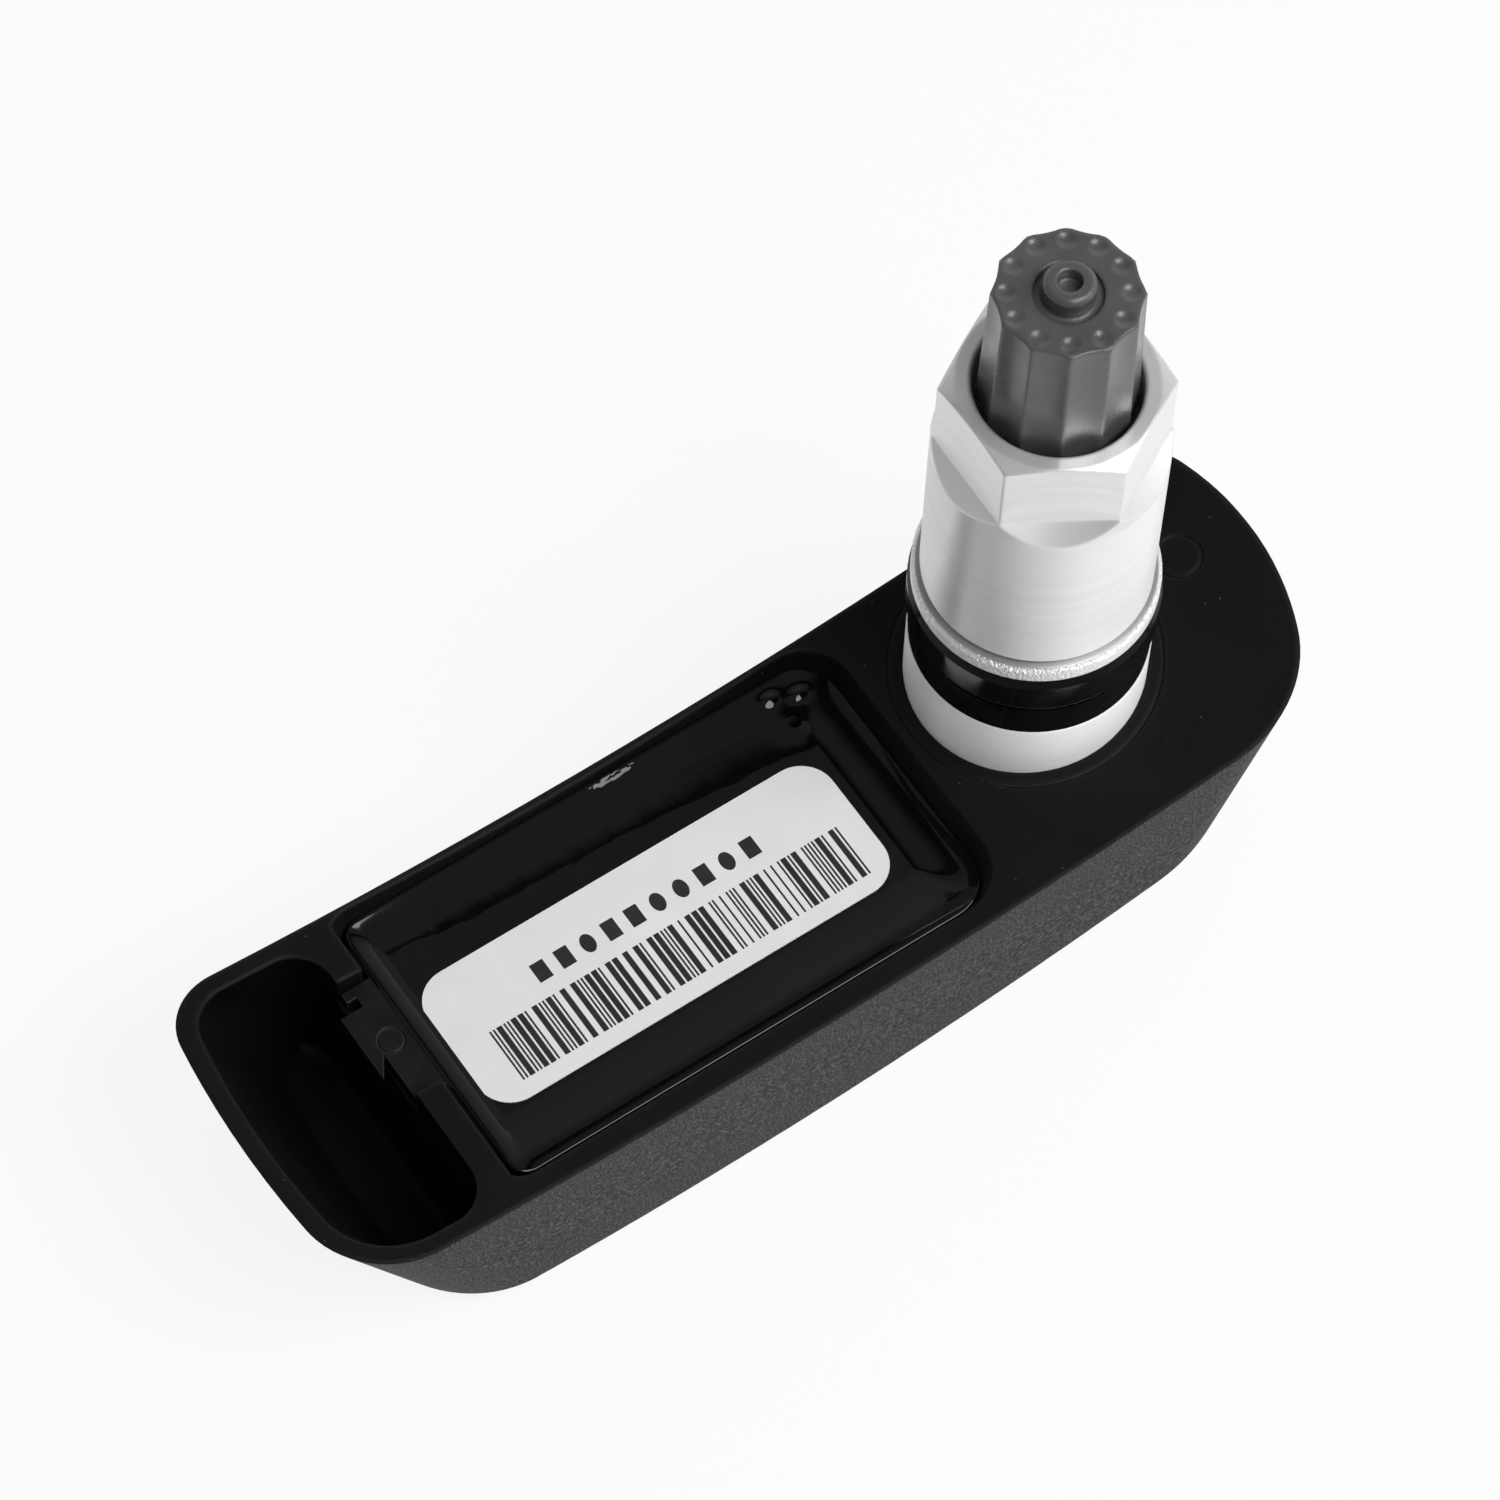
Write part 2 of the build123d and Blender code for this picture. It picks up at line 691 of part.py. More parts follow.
# Rubber seal: a lower band, a groove and a wider lip under the washer
seal_groove_z = foot_height + seal_band_height
seal_lip_z = seal_groove_z + seal_groove_width
with BuildPart() as stem_seal:
    with BuildSketch(Plane.XZ):
        with BuildLine():
            Polyline(
                (seal_lip_radius - seal_lip_round, seal_lip_z),
                (seal_band_radius - seal_groove_depth, seal_lip_z),
                (seal_band_radius - seal_groove_depth, seal_groove_z),
                (seal_band_radius, seal_groove_z),
                (seal_band_radius, foot_height),
                (neck_radius + seal_clearance, foot_height),
                (neck_radius + seal_clearance, foot_height + neck_height + seal_clearance),
                (stem_radius + seal_clearance, foot_height + neck_height + seal_clearance),
                (stem_radius + seal_clearance, seal_top_z),
                (seal_lip_radius - seal_shoulder, seal_top_z),
                (seal_lip_radius, seal_top_z - seal_shoulder),
                (seal_lip_radius, seal_lip_z + seal_lip_round),
            )
            RadiusArc(
                (seal_lip_radius, seal_lip_z + seal_lip_round),
                (seal_lip_radius - seal_lip_round, seal_lip_z),
                seal_lip_round,
            )
        make_face()
    revolve(axis=Axis.Z)
write(stem_seal, "stem_seal")

# Washer, hollowed below for the nose's lip
washer_hole = nose_radius + swivel_clearance
nose_z = nut_z - nose_length
with BuildPart() as washer:
    with BuildSketch(Plane.XY.offset(seal_top_z)):
        Circle(washer_radius)
        Circle(washer_hole, mode=Mode.SUBTRACT)
    extrude(amount=washer_thickness)
    with BuildSketch(Plane.XY.offset(seal_top_z)):
        Circle(washer_hole + nose_lip)
    extrude(amount=nose_z + nose_lip_height + swivel_clearance - seal_top_z, mode=Mode.SUBTRACT)
    chamfer(washer.edges().filter_by(GeomType.CIRCLE).sort_by(SortBy.RADIUS)[-2:], washer_edge)
write(washer, "washer")

# One side of the hexagon, cut down the sleeve and run out on a slope
flat_x = nut_flats / 2
flat_z = nut_top_z - nut_flat_height
with BuildPart() as hexagon_cut:
    with BuildSketch(Plane.XZ):
        with BuildLine():
            Polyline(
                (flat_x, nut_top_z),
                (flat_x, flat_z),
                (flat_x + nut_radius - nut_flats / 2, flat_z - nut_run_out),
                (nut_radius / cos(radians(30)), flat_z - nut_run_out),
                (nut_radius / cos(radians(30)), nut_top_z),
                close=True,
            )
        make_face()
    extrude(amount=nut_radius, both=True)

# Sleeve nut
with BuildPart() as nut:
    with BuildSketch(Plane.XZ):
        with BuildLine():
            Polyline(
                (stem_radius + thread_clearance, nose_z),
                (nose_radius + nose_lip, nose_z),
                (nose_radius + nose_lip, nose_z + nose_lip_height),
                (nose_radius, nose_z + nose_lip_height),
                (nose_radius, nut_z),
                (nut_radius - nut_edge, nut_z),
                (nut_radius, nut_z + nut_edge),
                (nut_radius, nut_top_z - nut_crown_height),
                (nut_radius - nut_crown_width, nut_top_z),
                (nut_mouth_radius + nut_mouth_edge, nut_top_z),
                (nut_mouth_radius, nut_top_z - nut_mouth_edge),
                (nut_mouth_radius, nut_z + nut_thread_length),
                (stem_radius + thread_clearance, nut_z + nut_thread_length),
                close=True,
            )
        make_face()
    revolve(axis=Axis.Z)
    with PolarLocations(0, 6, start_angle=nut_turn):
        add(hexagon_cut.part, mode=Mode.SUBTRACT)
write(nut, "nut")

# Outlines of the cap at its skirt and its top: a ring of points with shallow flutes between them
cap_outlines = []
point_angle = 360 / cap_point_count
for cap_z, cap_radius in ((cap_skirt_z, cap_skirt_radius), (cap_top_z, cap_top_radius)):
    point_radius = cap_radius + cap_point_stand
    flute_radius = point_radius * cos(radians(point_angle / 2)) - cap_flute_depth
    with BuildSketch(Plane.XY.offset(cap_z)) as cap_outline:
        with BuildLine():
            for i in range(cap_point_count):
                ThreePointArc(
                    Vector(point_radius, 0).rotate(Axis.Z, cap_point_turn + i * point_angle),
                    Vector(flute_radius, 0).rotate(Axis.Z, cap_point_turn + (i + 0.5) * point_angle),
                    Vector(point_radius, 0).rotate(Axis.Z, cap_point_turn + (i + 1) * point_angle),
                )
        make_face()
    cap_outlines.append(cap_outline.sketch)

# Valve cap
cap_edge_radius = cap_top_radius + cap_point_stand - cap_edge
with BuildPart() as cap:
    loft(sections=cap_outlines, ruled=True)
    # Bevel round its top
    with BuildSketch(Plane.XZ):
        with BuildLine():
            Polyline(
                (0, cap_skirt_z),
                (cap_edge_radius + cap_height, cap_skirt_z),
                (cap_edge_radius, cap_top_z),
                (0, cap_top_z),
                close=True,
            )
        make_face()
    revolve(axis=Axis.Z, mode=Mode.INTERSECT)
    # A shallow scoop behind each point
    with Locations((0, 0, cap_top_z + cap_scoop_radius - cap_scoop_depth)):
        with PolarLocations(point_radius - cap_scoop_from_point, cap_point_count, start_angle=cap_point_turn):
            Sphere(cap_scoop_radius, mode=Mode.SUBTRACT)
    # Moat round the nipple, the nipple and its dimple
    with BuildSketch(Plane.XY.offset(cap_top_z)):
        Circle(nipple_radius + moat_width)
    extrude(amount=-moat_depth, mode=Mode.SUBTRACT)
    with BuildSketch(Plane.XY.offset(cap_top_z - moat_depth)):
        Circle(nipple_radius)
    extrude(amount=moat_depth + nipple_height)
    chamfer(cap.faces().sort_by(Axis.Z)[-1].edges(), nipple_edge)
    with BuildSketch(Plane.XY.offset(cap_top_z + nipple_height)):
        Circle(dimple_radius)
    extrude(amount=-dimple_depth, mode=Mode.SUBTRACT)
    # Threaded bore
    with BuildSketch(Plane.XY.offset(cap_skirt_z)):
        Circle(cap_bore_radius)
    extrude(amount=cap_roof_z - cap_skirt_z, mode=Mode.SUBTRACT)
write(cap, "cap")

# Seal in the cap's roof
with BuildPart() as cap_seal:
    with BuildSketch(Plane.XY.offset(tip_height)):
        Circle(cap_bore_radius - cap_seal_clearance)
    extrude(amount=cap_seal_thickness)
write(cap_seal, "cap_seal")

# Barrel of the valve core, with a bridge across its top for a key
with BuildPart() as core_barrel:
    with BuildSketch(Plane.XZ):
        with BuildLine():
            Polyline(
                (pin_radius + pin_clearance, core_top_z),
                (core_radius, core_top_z),
                (core_radius, core_cone_z),
                (core_sleeve_radius, core_cone_z),
                (core_sleeve_radius, core_end_z),
                (pin_radius + pin_clearance, core_end_z),
                (pin_radius + pin_clearance, core_end_z + core_lip),
                (spring_room_radius, core_end_z + core_lip),
                (spring_room_radius, core_sleeve_z),
                (pin_radius + pin_clearance, core_sleeve_z),
                close=True,
            )
        make_face()
    revolve(axis=Axis.Z)
    for side in (-1, 1):
        with BuildSketch(Plane.XY.offset(core_top_z)):
            with Locations((0, side * (core_radius + core_bridge_width / 2))):
                Rectangle(2 * core_radius, 2 * core_radius)
        extrude(amount=-core_bridge_height, mode=Mode.SUBTRACT)
write(core_barrel, "core_barrel")

# Seal ring of the core, shaped to the cone in the stem
cone_slope = (core_hole_radius - core_room_radius) / core_cone_length
core_seal_radius = core_hole_radius - core_seal_gap
with BuildPart() as core_seal:
    with BuildSketch(Plane.XZ):
        with BuildLine():
            Polyline(
                (core_sleeve_radius, core_cone_z),
                (core_seal_radius, core_cone_z),
                (core_seal_radius - cone_slope * core_seal_height, core_cone_z - core_seal_height),
                (core_sleeve_radius, core_cone_z - core_seal_height),
                close=True,
            )
        make_face()
    revolve(axis=Axis.Z)
write(core_seal, "core_seal")

# Pin of the core, with the spring's collar and a flange for the cup seal
pin_flange_z = core_end_z - core_cup_height - pin_flange_height
with BuildPart() as core_pin:
    with BuildSketch(Plane.XZ):
        with BuildLine():
            Polyline(
                (0, pin_flange_z),
                (pin_flange_radius, pin_flange_z),
                (pin_flange_radius, pin_flange_z + pin_flange_height),
                (pin_radius, pin_flange_z + pin_flange_height),
                (pin_radius, pin_collar_z),
                (pin_collar_radius, pin_collar_z),
                (pin_collar_radius, pin_collar_z + pin_collar_height),
                (pin_radius, pin_collar_z + pin_collar_height),
                (pin_radius, tip_height - pin_below_tip),
                (0, tip_height - pin_below_tip),
                close=True,
            )
        make_face()
    revolve(axis=Axis.Z)
write(core_pin, "core_pin")

# Cup seal that closes the barrel's lower end
with BuildPart() as core_cup:
    with BuildSketch(Plane.XY.offset(core_end_z - core_cup_height)):
        Circle(core_cup_radius)
        Circle(pin_radius + core_cup_clearance, mode=Mode.SUBTRACT)
    extrude(amount=core_cup_height)
write(core_cup, "core_cup")

# Spring between the barrel's lower lip and the pin's collar
spring_low_z = core_end_z + core_lip + spring_wire_radius + core_cup_clearance
spring_high_z = pin_collar_z - spring_wire_radius - core_cup_clearance
spring_radius = pin_radius + spring_gap + spring_wire_radius
with BuildPart() as core_spring:
    with BuildLine(Plane.XY.offset(spring_low_z)) as coil:
        Helix((spring_high_z - spring_low_z) / spring_turns, spring_high_z - spring_low_z, spring_radius)
    with BuildSketch(Plane(coil.line @ 0, z_dir=coil.line % 0)):
        Circle(spring_wire_radius)
    sweep(path=coil.line, is_frenet=True)
write(core_spring, "core_spring")
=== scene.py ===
"""Looks of a tyre pressure sensor with a clamp-in metal valve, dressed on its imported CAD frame.

Sizes at the top are in millimetres. Blender works in metres, so they pass through mm().
"""

import json
import math
from collections import namedtuple

import bmesh
import bpy
from mathutils import Matrix, Vector, noise

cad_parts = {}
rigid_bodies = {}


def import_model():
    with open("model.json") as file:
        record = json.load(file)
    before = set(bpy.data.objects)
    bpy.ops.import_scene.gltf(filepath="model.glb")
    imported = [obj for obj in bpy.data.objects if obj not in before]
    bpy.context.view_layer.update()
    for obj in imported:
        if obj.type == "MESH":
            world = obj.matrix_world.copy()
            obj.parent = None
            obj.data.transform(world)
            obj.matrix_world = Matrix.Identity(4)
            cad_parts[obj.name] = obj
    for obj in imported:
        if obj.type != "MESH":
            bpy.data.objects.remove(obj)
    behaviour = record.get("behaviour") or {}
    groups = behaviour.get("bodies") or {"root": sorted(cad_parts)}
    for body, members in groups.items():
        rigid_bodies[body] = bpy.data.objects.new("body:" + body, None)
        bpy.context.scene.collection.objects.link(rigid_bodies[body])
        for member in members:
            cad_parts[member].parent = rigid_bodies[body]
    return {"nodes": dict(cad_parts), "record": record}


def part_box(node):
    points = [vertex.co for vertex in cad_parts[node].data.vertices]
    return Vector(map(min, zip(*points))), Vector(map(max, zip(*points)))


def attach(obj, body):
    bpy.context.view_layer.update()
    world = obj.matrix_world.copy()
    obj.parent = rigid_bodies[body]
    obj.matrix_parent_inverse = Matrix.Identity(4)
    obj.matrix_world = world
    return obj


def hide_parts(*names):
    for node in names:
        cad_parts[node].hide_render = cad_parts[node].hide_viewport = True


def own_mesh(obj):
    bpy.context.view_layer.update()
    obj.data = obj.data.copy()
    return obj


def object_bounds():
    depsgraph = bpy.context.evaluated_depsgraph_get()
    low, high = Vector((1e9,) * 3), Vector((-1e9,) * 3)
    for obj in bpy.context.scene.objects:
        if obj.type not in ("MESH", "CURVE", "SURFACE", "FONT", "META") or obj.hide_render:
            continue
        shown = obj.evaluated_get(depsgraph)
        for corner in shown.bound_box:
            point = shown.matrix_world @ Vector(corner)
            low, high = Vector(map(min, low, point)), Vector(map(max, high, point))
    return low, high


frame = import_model()
cad_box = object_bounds()

# Camera
aim_point = (-17.6, 4.2, 0.0)
camera_distance = 392.5
camera_azimuth = -36.52
camera_elevation = 61.02
camera_roll = 2.57
camera_lens = 154.6

# Resin poured over the electronics cup's rim
cup_wall = 0.7
rim_margin = 0.1
skin_overlap = 0.22
skin_lift = 0.03
skin_gap = 0.004
skin_valve_corner = 3.0
skin_divider_corner = 1.5
least_corner = 0.01
skin_loops = 110
loop_crowding = 1.6
skin_side_points = 240
skin_end_points = 90
skin_corner_points = 14

# How the resin climbs by each wall: how high, over what width, and how its slope builds up;
# then how far its edge rolls down, and over what width
wall_front = (0.85, 4.3, 1.15, 0.36, 1.4)
wall_valve = (1.46, 3.3, 1.5, 1.0, 2.6)
wall_back = (0.82, 2.7, 1.45, 0.10, 0.3)
wall_divider = (0.66, 1.45, 0.5, 0.2, 0.5)
wall_blend = 4
lip_drop = 0.08
lip_width = 0.2

# Foot of the climb by the back wall: how it slants away, and the size and length of its waves
back_line_slant = 2.7
back_line_waves = ((0.5, 6.0), (0.2, 1.6), (0.08, 0.45))
wave_growth = 4

# Marks in the resin, with each droplet's place, height, length, width and how broken it is
ripple_height = 0.005
ripple_length = 5.0
ripple_fade = 1.5
streak_height = 0.03
streak_size = (6.0, 0.6)
streak_spot = (-19.0, 7.1)
streak_reach = (4.5, 0.9)
drop_spots = (
    (-25.0, 8.5, 0.13, 1.3, 0.25, 1.0),
    (-13.9, 7.5, 0.2, 0.6, 0.4, 0.0),
    (-12.1, 6.9, 0.2, 0.6, 0.4, 0.0),
)
drop_grain = 0.25
drop_fade = 0.3
vent_hole_radius = 0.5
vent_hole_sides = 48
vent_cut_depth = 2.0
vent_mound_height = 0.14
vent_mound_width = 1.3

# Threads on the valve's stem and on its tip: radius, pitch, depth, start and end up the axis
stem_thread = (4.0, 1.0, 0.58, 11.4, 29.6)
tip_thread = (3.6, 0.794, 0.45, 30.9, 38.6)
groove_share = 0.55
thread_steps = 48

# Joining of loose triangles, before and after a cut, and the angle that stays sharp
loose_weld = 0.0001
cut_weld = 0.0005
sharp_angle = 40

# Where finishes change up the valve's axis and out from it, and where painted shade darkens the gap between
# the washer and the nut
foot_top = 4.4
stem_polish_start = 10.4
washer_low = 10.45
washer_high = 11.85
washer_rough_radius = 7.2
seam_height = 11.95
seam_reach = (0.05, 0.2)
seam_radius = (6.3, 6.5)
hexagon_start = (25.3, 25.5)

# Line along the carrier's middle, which its outer wall faces away from
hull_line_start = -50.0
hull_line_end = 6.0
hull_line_y = -1.8

# Print on the label
bar_count = 58
bar_row_start = 2.55
bar_row_end = 1.55
bar_front_margin = 1.15
bar_height = 3.8
thick_bar_share = 0.5
wide_gap_share = 0.3
widening = 2.0
mark_count = 10
mark_row_start = 6.6
mark_row_end = 6.0
mark_front_margin = 6.0
mark_height = 1.35
mark_width = 0.95
ink_thickness = 0.006
print_seed = 7

# Studio, with what surrounds the part given as brightness over the angle
# from the horizon behind it, over the top, to the horizon in front
surroundings = (
    (0, 0.9), (24, 0.8), (45, 0.45), (58, 0.28), (64.5, 0.26), (65.5, 0.0),
    (71.5, 0.0), (78, 0.3), (100, 0.3), (135, 0.3), (150, 0.06), (180, 0.04),
)
surround_turn = -36.5
floor_size = 4000.0
floor_grey = 0.85
floor_roughness = 0.9
floor_white_share = 0.88

# Softboxes: name, place, aim, width, height and watts
softboxes = (
    ("main_softbox", (70, -230, 400), (-20, 0, 0), 300, 200, 1.6),
    ("right_softbox", (330, -260, 300), (-10, 0, 0), 200, 200, 0.6),
)


def mm(value):
    """Millimetres to metres."""
    return value / 1000


# Node helpers


def add(tree, kind, inputs=None, **settings):
    """Adds a node, applies its settings, and sets or links its inputs."""
    made = tree.nodes.new(kind)
    for name, value in settings.items():
        setattr(made, name, value)
    for name, value in (inputs or {}).items():
        if isinstance(value, bpy.types.NodeSocket):
            tree.links.new(value, made.inputs[name])
        else:
            made.inputs[name].default_value = value
    return made


def calc(tree, operation, *values):
    """One step of arithmetic; gives its output socket."""
    return add(tree, "ShaderNodeMath", dict(enumerate(values)), operation=operation).outputs[0]


def remap(tree, value, low, high, to_low=0.0, to_high=1.0):
    """Value taken from one range to another, held inside it."""
    inputs = {"Value": value, "From Min": low, "From Max": high, "To Min": to_low, "To Max": to_high}
    return add(tree, "ShaderNodeMapRange", inputs).outputs[0]


def blend(tree, share, first, second):
    """Colour between two colours."""
    made = add(tree, "ShaderNodeMix", data_type="RGBA")
    for index, value in ((0, share), (6, first), (7, second)):
        if isinstance(value, bpy.types.NodeSocket):
            tree.links.new(value, made.inputs[index])
        else:
            made.inputs[index].default_value = value
    return made.outputs[2]


def grey(level):
    """Neutral colour of one level."""
    return (level, level, level, 1.0)


def new_group(name, inputs, outputs):
    """Empty shader group with named inputs, as (kind, value), and named outputs, as kinds."""
    tree = bpy.data.node_groups.new(name, "ShaderNodeTree")
    for socket, (kind, value) in inputs.items():
        tree.interface.new_socket(socket, in_out="INPUT", socket_type=kind).default_value = value
    for socket, kind in outputs.items():
        tree.interface.new_socket(socket, in_out="OUTPUT", socket_type=kind)
    return tree, tree.nodes.new("NodeGroupInput").outputs, tree.nodes.new("NodeGroupOutput").inputs


def use(tree, group, **values):
    """Places a group in a material with its own values; gives its outputs."""
    made = tree.nodes.new("ShaderNodeGroup")
    made.node_tree = group
    for name, value in values.items():
        made.inputs[name.replace("_", " ")].default_value = value
    return made.outputs


def from_axis(tree):
    """Height up the valve's axis, and distance out from it."""
    place = add(tree, "ShaderNodeTexCoord").outputs["Object"]
    parts = add(tree, "ShaderNodeSeparateXYZ", {"Vector": place}).outputs
    flat = add(tree, "ShaderNodeCombineXYZ", {"X": parts[0], "Y": parts[1]}).outputs[0]
    return parts[2], add(tree, "ShaderNodeVectorMath", {0: flat}, operation="LENGTH").outputs["Value"]


# Effects that several finishes share


def make_grain():
    """Fine pebbled grain of a moulded or blasted surface, and slow patches of tone."""
    number = "NodeSocketFloat"
    inputs = {"Grain Size": (number, mm(0.15)), "Patch Size": (number, mm(4.0))}
    tree, source, target = new_group("moulded_grain", inputs, {"Height": number, "Tone": number})
    place = add(tree, "ShaderNodeTexCoord").outputs["Object"]
    grain_scale = calc(tree, "DIVIDE", 1.0, source["Grain Size"])
    patch_scale = calc(tree, "DIVIDE", 1.0, source["Patch Size"])
    pebbles = add(tree, "ShaderNodeTexNoise", {"Vector": place, "Scale": grain_scale, "Detail": 2.0})
    patches = add(tree, "ShaderNodeTexNoise", {"Vector": place, "Scale": patch_scale, "Detail": 3.0})
    tree.links.new(remap(tree, pebbles.outputs[0], 0.25, 0.75), target["Height"])
    tree.links.new(remap(tree, patches.outputs[0], 0.3, 0.7), target["Tone"])
    return tree


def make_specks():
    """Sparse small specks, such as dust that a surface has caught."""
    number = "NodeSocketFloat"
    inputs = {"Spacing": (number, mm(1.0)), "Share": (number, 0.2), "Reach": (number, 0.1)}
    tree, source, target = new_group("dust_specks", inputs, {"Mask": number})
    place = add(tree, "ShaderNodeTexCoord").outputs["Object"]
    scale = calc(tree, "DIVIDE", 1.0, source["Spacing"])
    cells = add(tree, "ShaderNodeTexVoronoi", {"Vector": place, "Scale": scale})
    near = calc(tree, "LESS_THAN", cells.outputs["Distance"], source["Reach"])
    pick = add(tree, "ShaderNodeSeparateColor", {"Color": cells.outputs["Color"]}).outputs[0]
    chosen = calc(tree, "LESS_THAN", pick, source["Share"])
    tree.links.new(calc(tree, "MULTIPLY", near, chosen), target["Mask"])
    return tree


def make_lathe_lines():
    """Fine rings that a lathe leaves round the valve's axis."""
    number = "NodeSocketFloat"
    inputs = {"Line Width": (number, mm(0.08))}
    tree, source, target = new_group("lathe_lines", inputs, {"Height": number, "Tone": number})
    height, radius = from_axis(tree)
    count = calc(tree, "DIVIDE", calc(tree, "ADD", height, radius), source["Line Width"])
    lines = add(tree, "ShaderNodeTexNoise", {"W": count, "Scale": 1.0, "Detail": 2.0}, noise_dimensions="1D")
    bands = add(tree, "ShaderNodeTexNoise", {"W": count, "Scale": 0.06, "Detail": 1.0}, noise_dimensions="1D")
    tree.links.new(remap(tree, lines.outputs[0], 0.25, 0.75), target["Height"])
    tree.links.new(remap(tree, bands.outputs[0], 0.3, 0.7), target["Tone"])
    return tree


def make_smears():
    """Soft uneven patches from handling, wiping and flow."""
    number = "NodeSocketFloat"
    inputs = {"Patch Size": (number, mm(5.0))}
    tree, source, target = new_group("handling_smears", inputs, {"Mask": number})
    place = add(tree, "ShaderNodeTexCoord").outputs["Object"]
    scale = calc(tree, "DIVIDE", 1.0, source["Patch Size"])
    cloudy = {"Vector": place, "Scale": scale, "Detail": 5.0, "Distortion": 0.6}
    cloud = add(tree, "ShaderNodeTexNoise", cloudy)
    tree.links.new(remap(tree, cloud.outputs[0], 0.35, 0.7), target["Mask"])
    return tree


def make_soft_edges():
    """Normal with its sharp edges eased over a small radius, and a mask of those edges."""
    number = "NodeSocketFloat"
    inputs = {"Radius": (number, mm(0.2))}
    outputs = {"Normal": "NodeSocketVector", "Edge": number}
    tree, source, target = new_group("eased_edges", inputs, outputs)
    eased = add(tree, "ShaderNodeBevel", {"Radius": source["Radius"]}, samples=6).outputs[0]
    flat = add(tree, "ShaderNodeNewGeometry").outputs["Normal"]
    same = add(tree, "ShaderNodeVectorMath", {0: eased, 1: flat}, operation="DOT_PRODUCT").outputs["Value"]
    tree.links.new(eased, target["Normal"])
    tree.links.new(remap(tree, same, 1.0, 0.8), target["Edge"])
    return tree


grain = make_grain()
specks = make_specks()
lathe_lines = make_lathe_lines()
smears = make_smears()
soft_edges = make_soft_edges()


# Finishes


def new_finish(name, **constants):
    """New material with its shader; the constants go straight onto the shader's sockets."""
    material = bpy.data.materials.new(name)
    material.use_nodes = True
    shader = material.node_tree.nodes["Principled BSDF"]
    for socket, value in constants.items():
        shader.inputs[socket.replace("_", " ")].default_value = value
    return material, material.node_tree, shader.inputs


def bump(tree, height, distance, strength=1.0, normal=None):
    """Surface normal from a height; gives its output socket."""
    inputs = {"Height": height, "Distance": distance, "Strength": strength}
    if normal is not None:
        inputs["Normal"] = normal
    return add(tree, "ShaderNodeBump", inputs).outputs[0]


def carrier_plastic():
    """Black moulded plastic: smooth on the rim face and inside, textured and greyer round the outside, with a
    painted highlight along its eased edges.
    """
    material, tree, shader = new_finish("carrier_plastic", IOR=1.46, Specular_IOR_Level=0.16)
    facing = add(tree, "ShaderNodeNewGeometry").outputs["True Normal"]
    place = add(tree, "ShaderNodeTexCoord").outputs["Object"]
    parts = add(tree, "ShaderNodeSeparateXYZ", {"Vector": place}).outputs
    along = calc(tree, "MAXIMUM", parts[0], mm(hull_line_start))
    along = calc(tree, "MINIMUM", along, mm(hull_line_end))
    off_x = calc(tree, "SUBTRACT", parts[0], along)
    off_y = calc(tree, "SUBTRACT", parts[1], mm(hull_line_y))
    outward = add(tree, "ShaderNodeCombineXYZ", {"X": off_x, "Y": off_y}).outputs[0]
    outward = add(tree, "ShaderNodeVectorMath", {0: outward}, operation="NORMALIZE").outputs[0]
    agree = add(tree, "ShaderNodeVectorMath", {0: facing, 1: outward}, operation="DOT_PRODUCT")
    side = remap(tree, agree.outputs["Value"], 0.3, 0.6)
    fine = use(tree, grain, Grain_Size=mm(0.09), Patch_Size=mm(6.0))
    rough = use(tree, grain, Grain_Size=mm(0.18), Patch_Size=mm(3.0))
    dust = use(tree, specks, Spacing=mm(0.9), Share=0.25, Reach=0.06)
    edges = use(tree, soft_edges, Radius=mm(0.5))
    top_colour = blend(tree, fine["Tone"], grey(0.002), grey(0.0035))
    speckle = calc(tree, "POWER", rough["Height"], 2.2)
    side_colour = blend(tree, speckle, grey(0.012), grey(0.16))
    colour = blend(tree, side, top_colour, side_colour)
    # Painted highlight: the eased edges are lightened where they catch the light.
    painted_edge_highlight = blend(tree, calc(tree, "MULTIPLY", edges["Edge"], 0.25), colour, grey(0.04))
    dusty = blend(tree, calc(tree, "MULTIPLY", dust["Mask"], 0.4), painted_edge_highlight, grey(0.14))
    tree.links.new(dusty, shader["Base Color"])
    tree.links.new(remap(tree, side, 0.0, 1.0, 0.5, 0.62), shader["Roughness"])
    top_normal = bump(tree, fine["Height"], mm(0.006), 0.5, edges["Normal"])
    depth = calc(tree, "MULTIPLY", rough["Height"], side)
    tree.links.new(bump(tree, depth, mm(0.04), 1.0, top_normal), shader["Normal"])
    return material


def cup_plastic():
    """Black moulded plastic of the cup, a little smoother than the carrier, with a painted highlight along
    its eased edges.
    """
    material, tree, shader = new_finish("cup_plastic", IOR=1.48, Specular_IOR_Level=0.2)
    fine = use(tree, grain, Grain_Size=mm(0.07), Patch_Size=mm(2.5))
    edges = use(tree, soft_edges, Radius=mm(0.15))
    colour = blend(tree, fine["Tone"], grey(0.004), grey(0.007))
    # Painted highlight: the eased edges are lightened where they catch the light.
    painted_edge_highlight = blend(tree, calc(tree, "MULTIPLY", edges["Edge"], 0.4), colour, grey(0.07))
    tree.links.new(painted_edge_highlight, shader["Base Color"])
    tree.links.new(remap(tree, fine["Tone"], 0.0, 1.0, 0.36, 0.46), shader["Roughness"])
    tree.links.new(bump(tree, fine["Height"], mm(0.004), 0.5, edges["Normal"]), shader["Normal"])
    return material


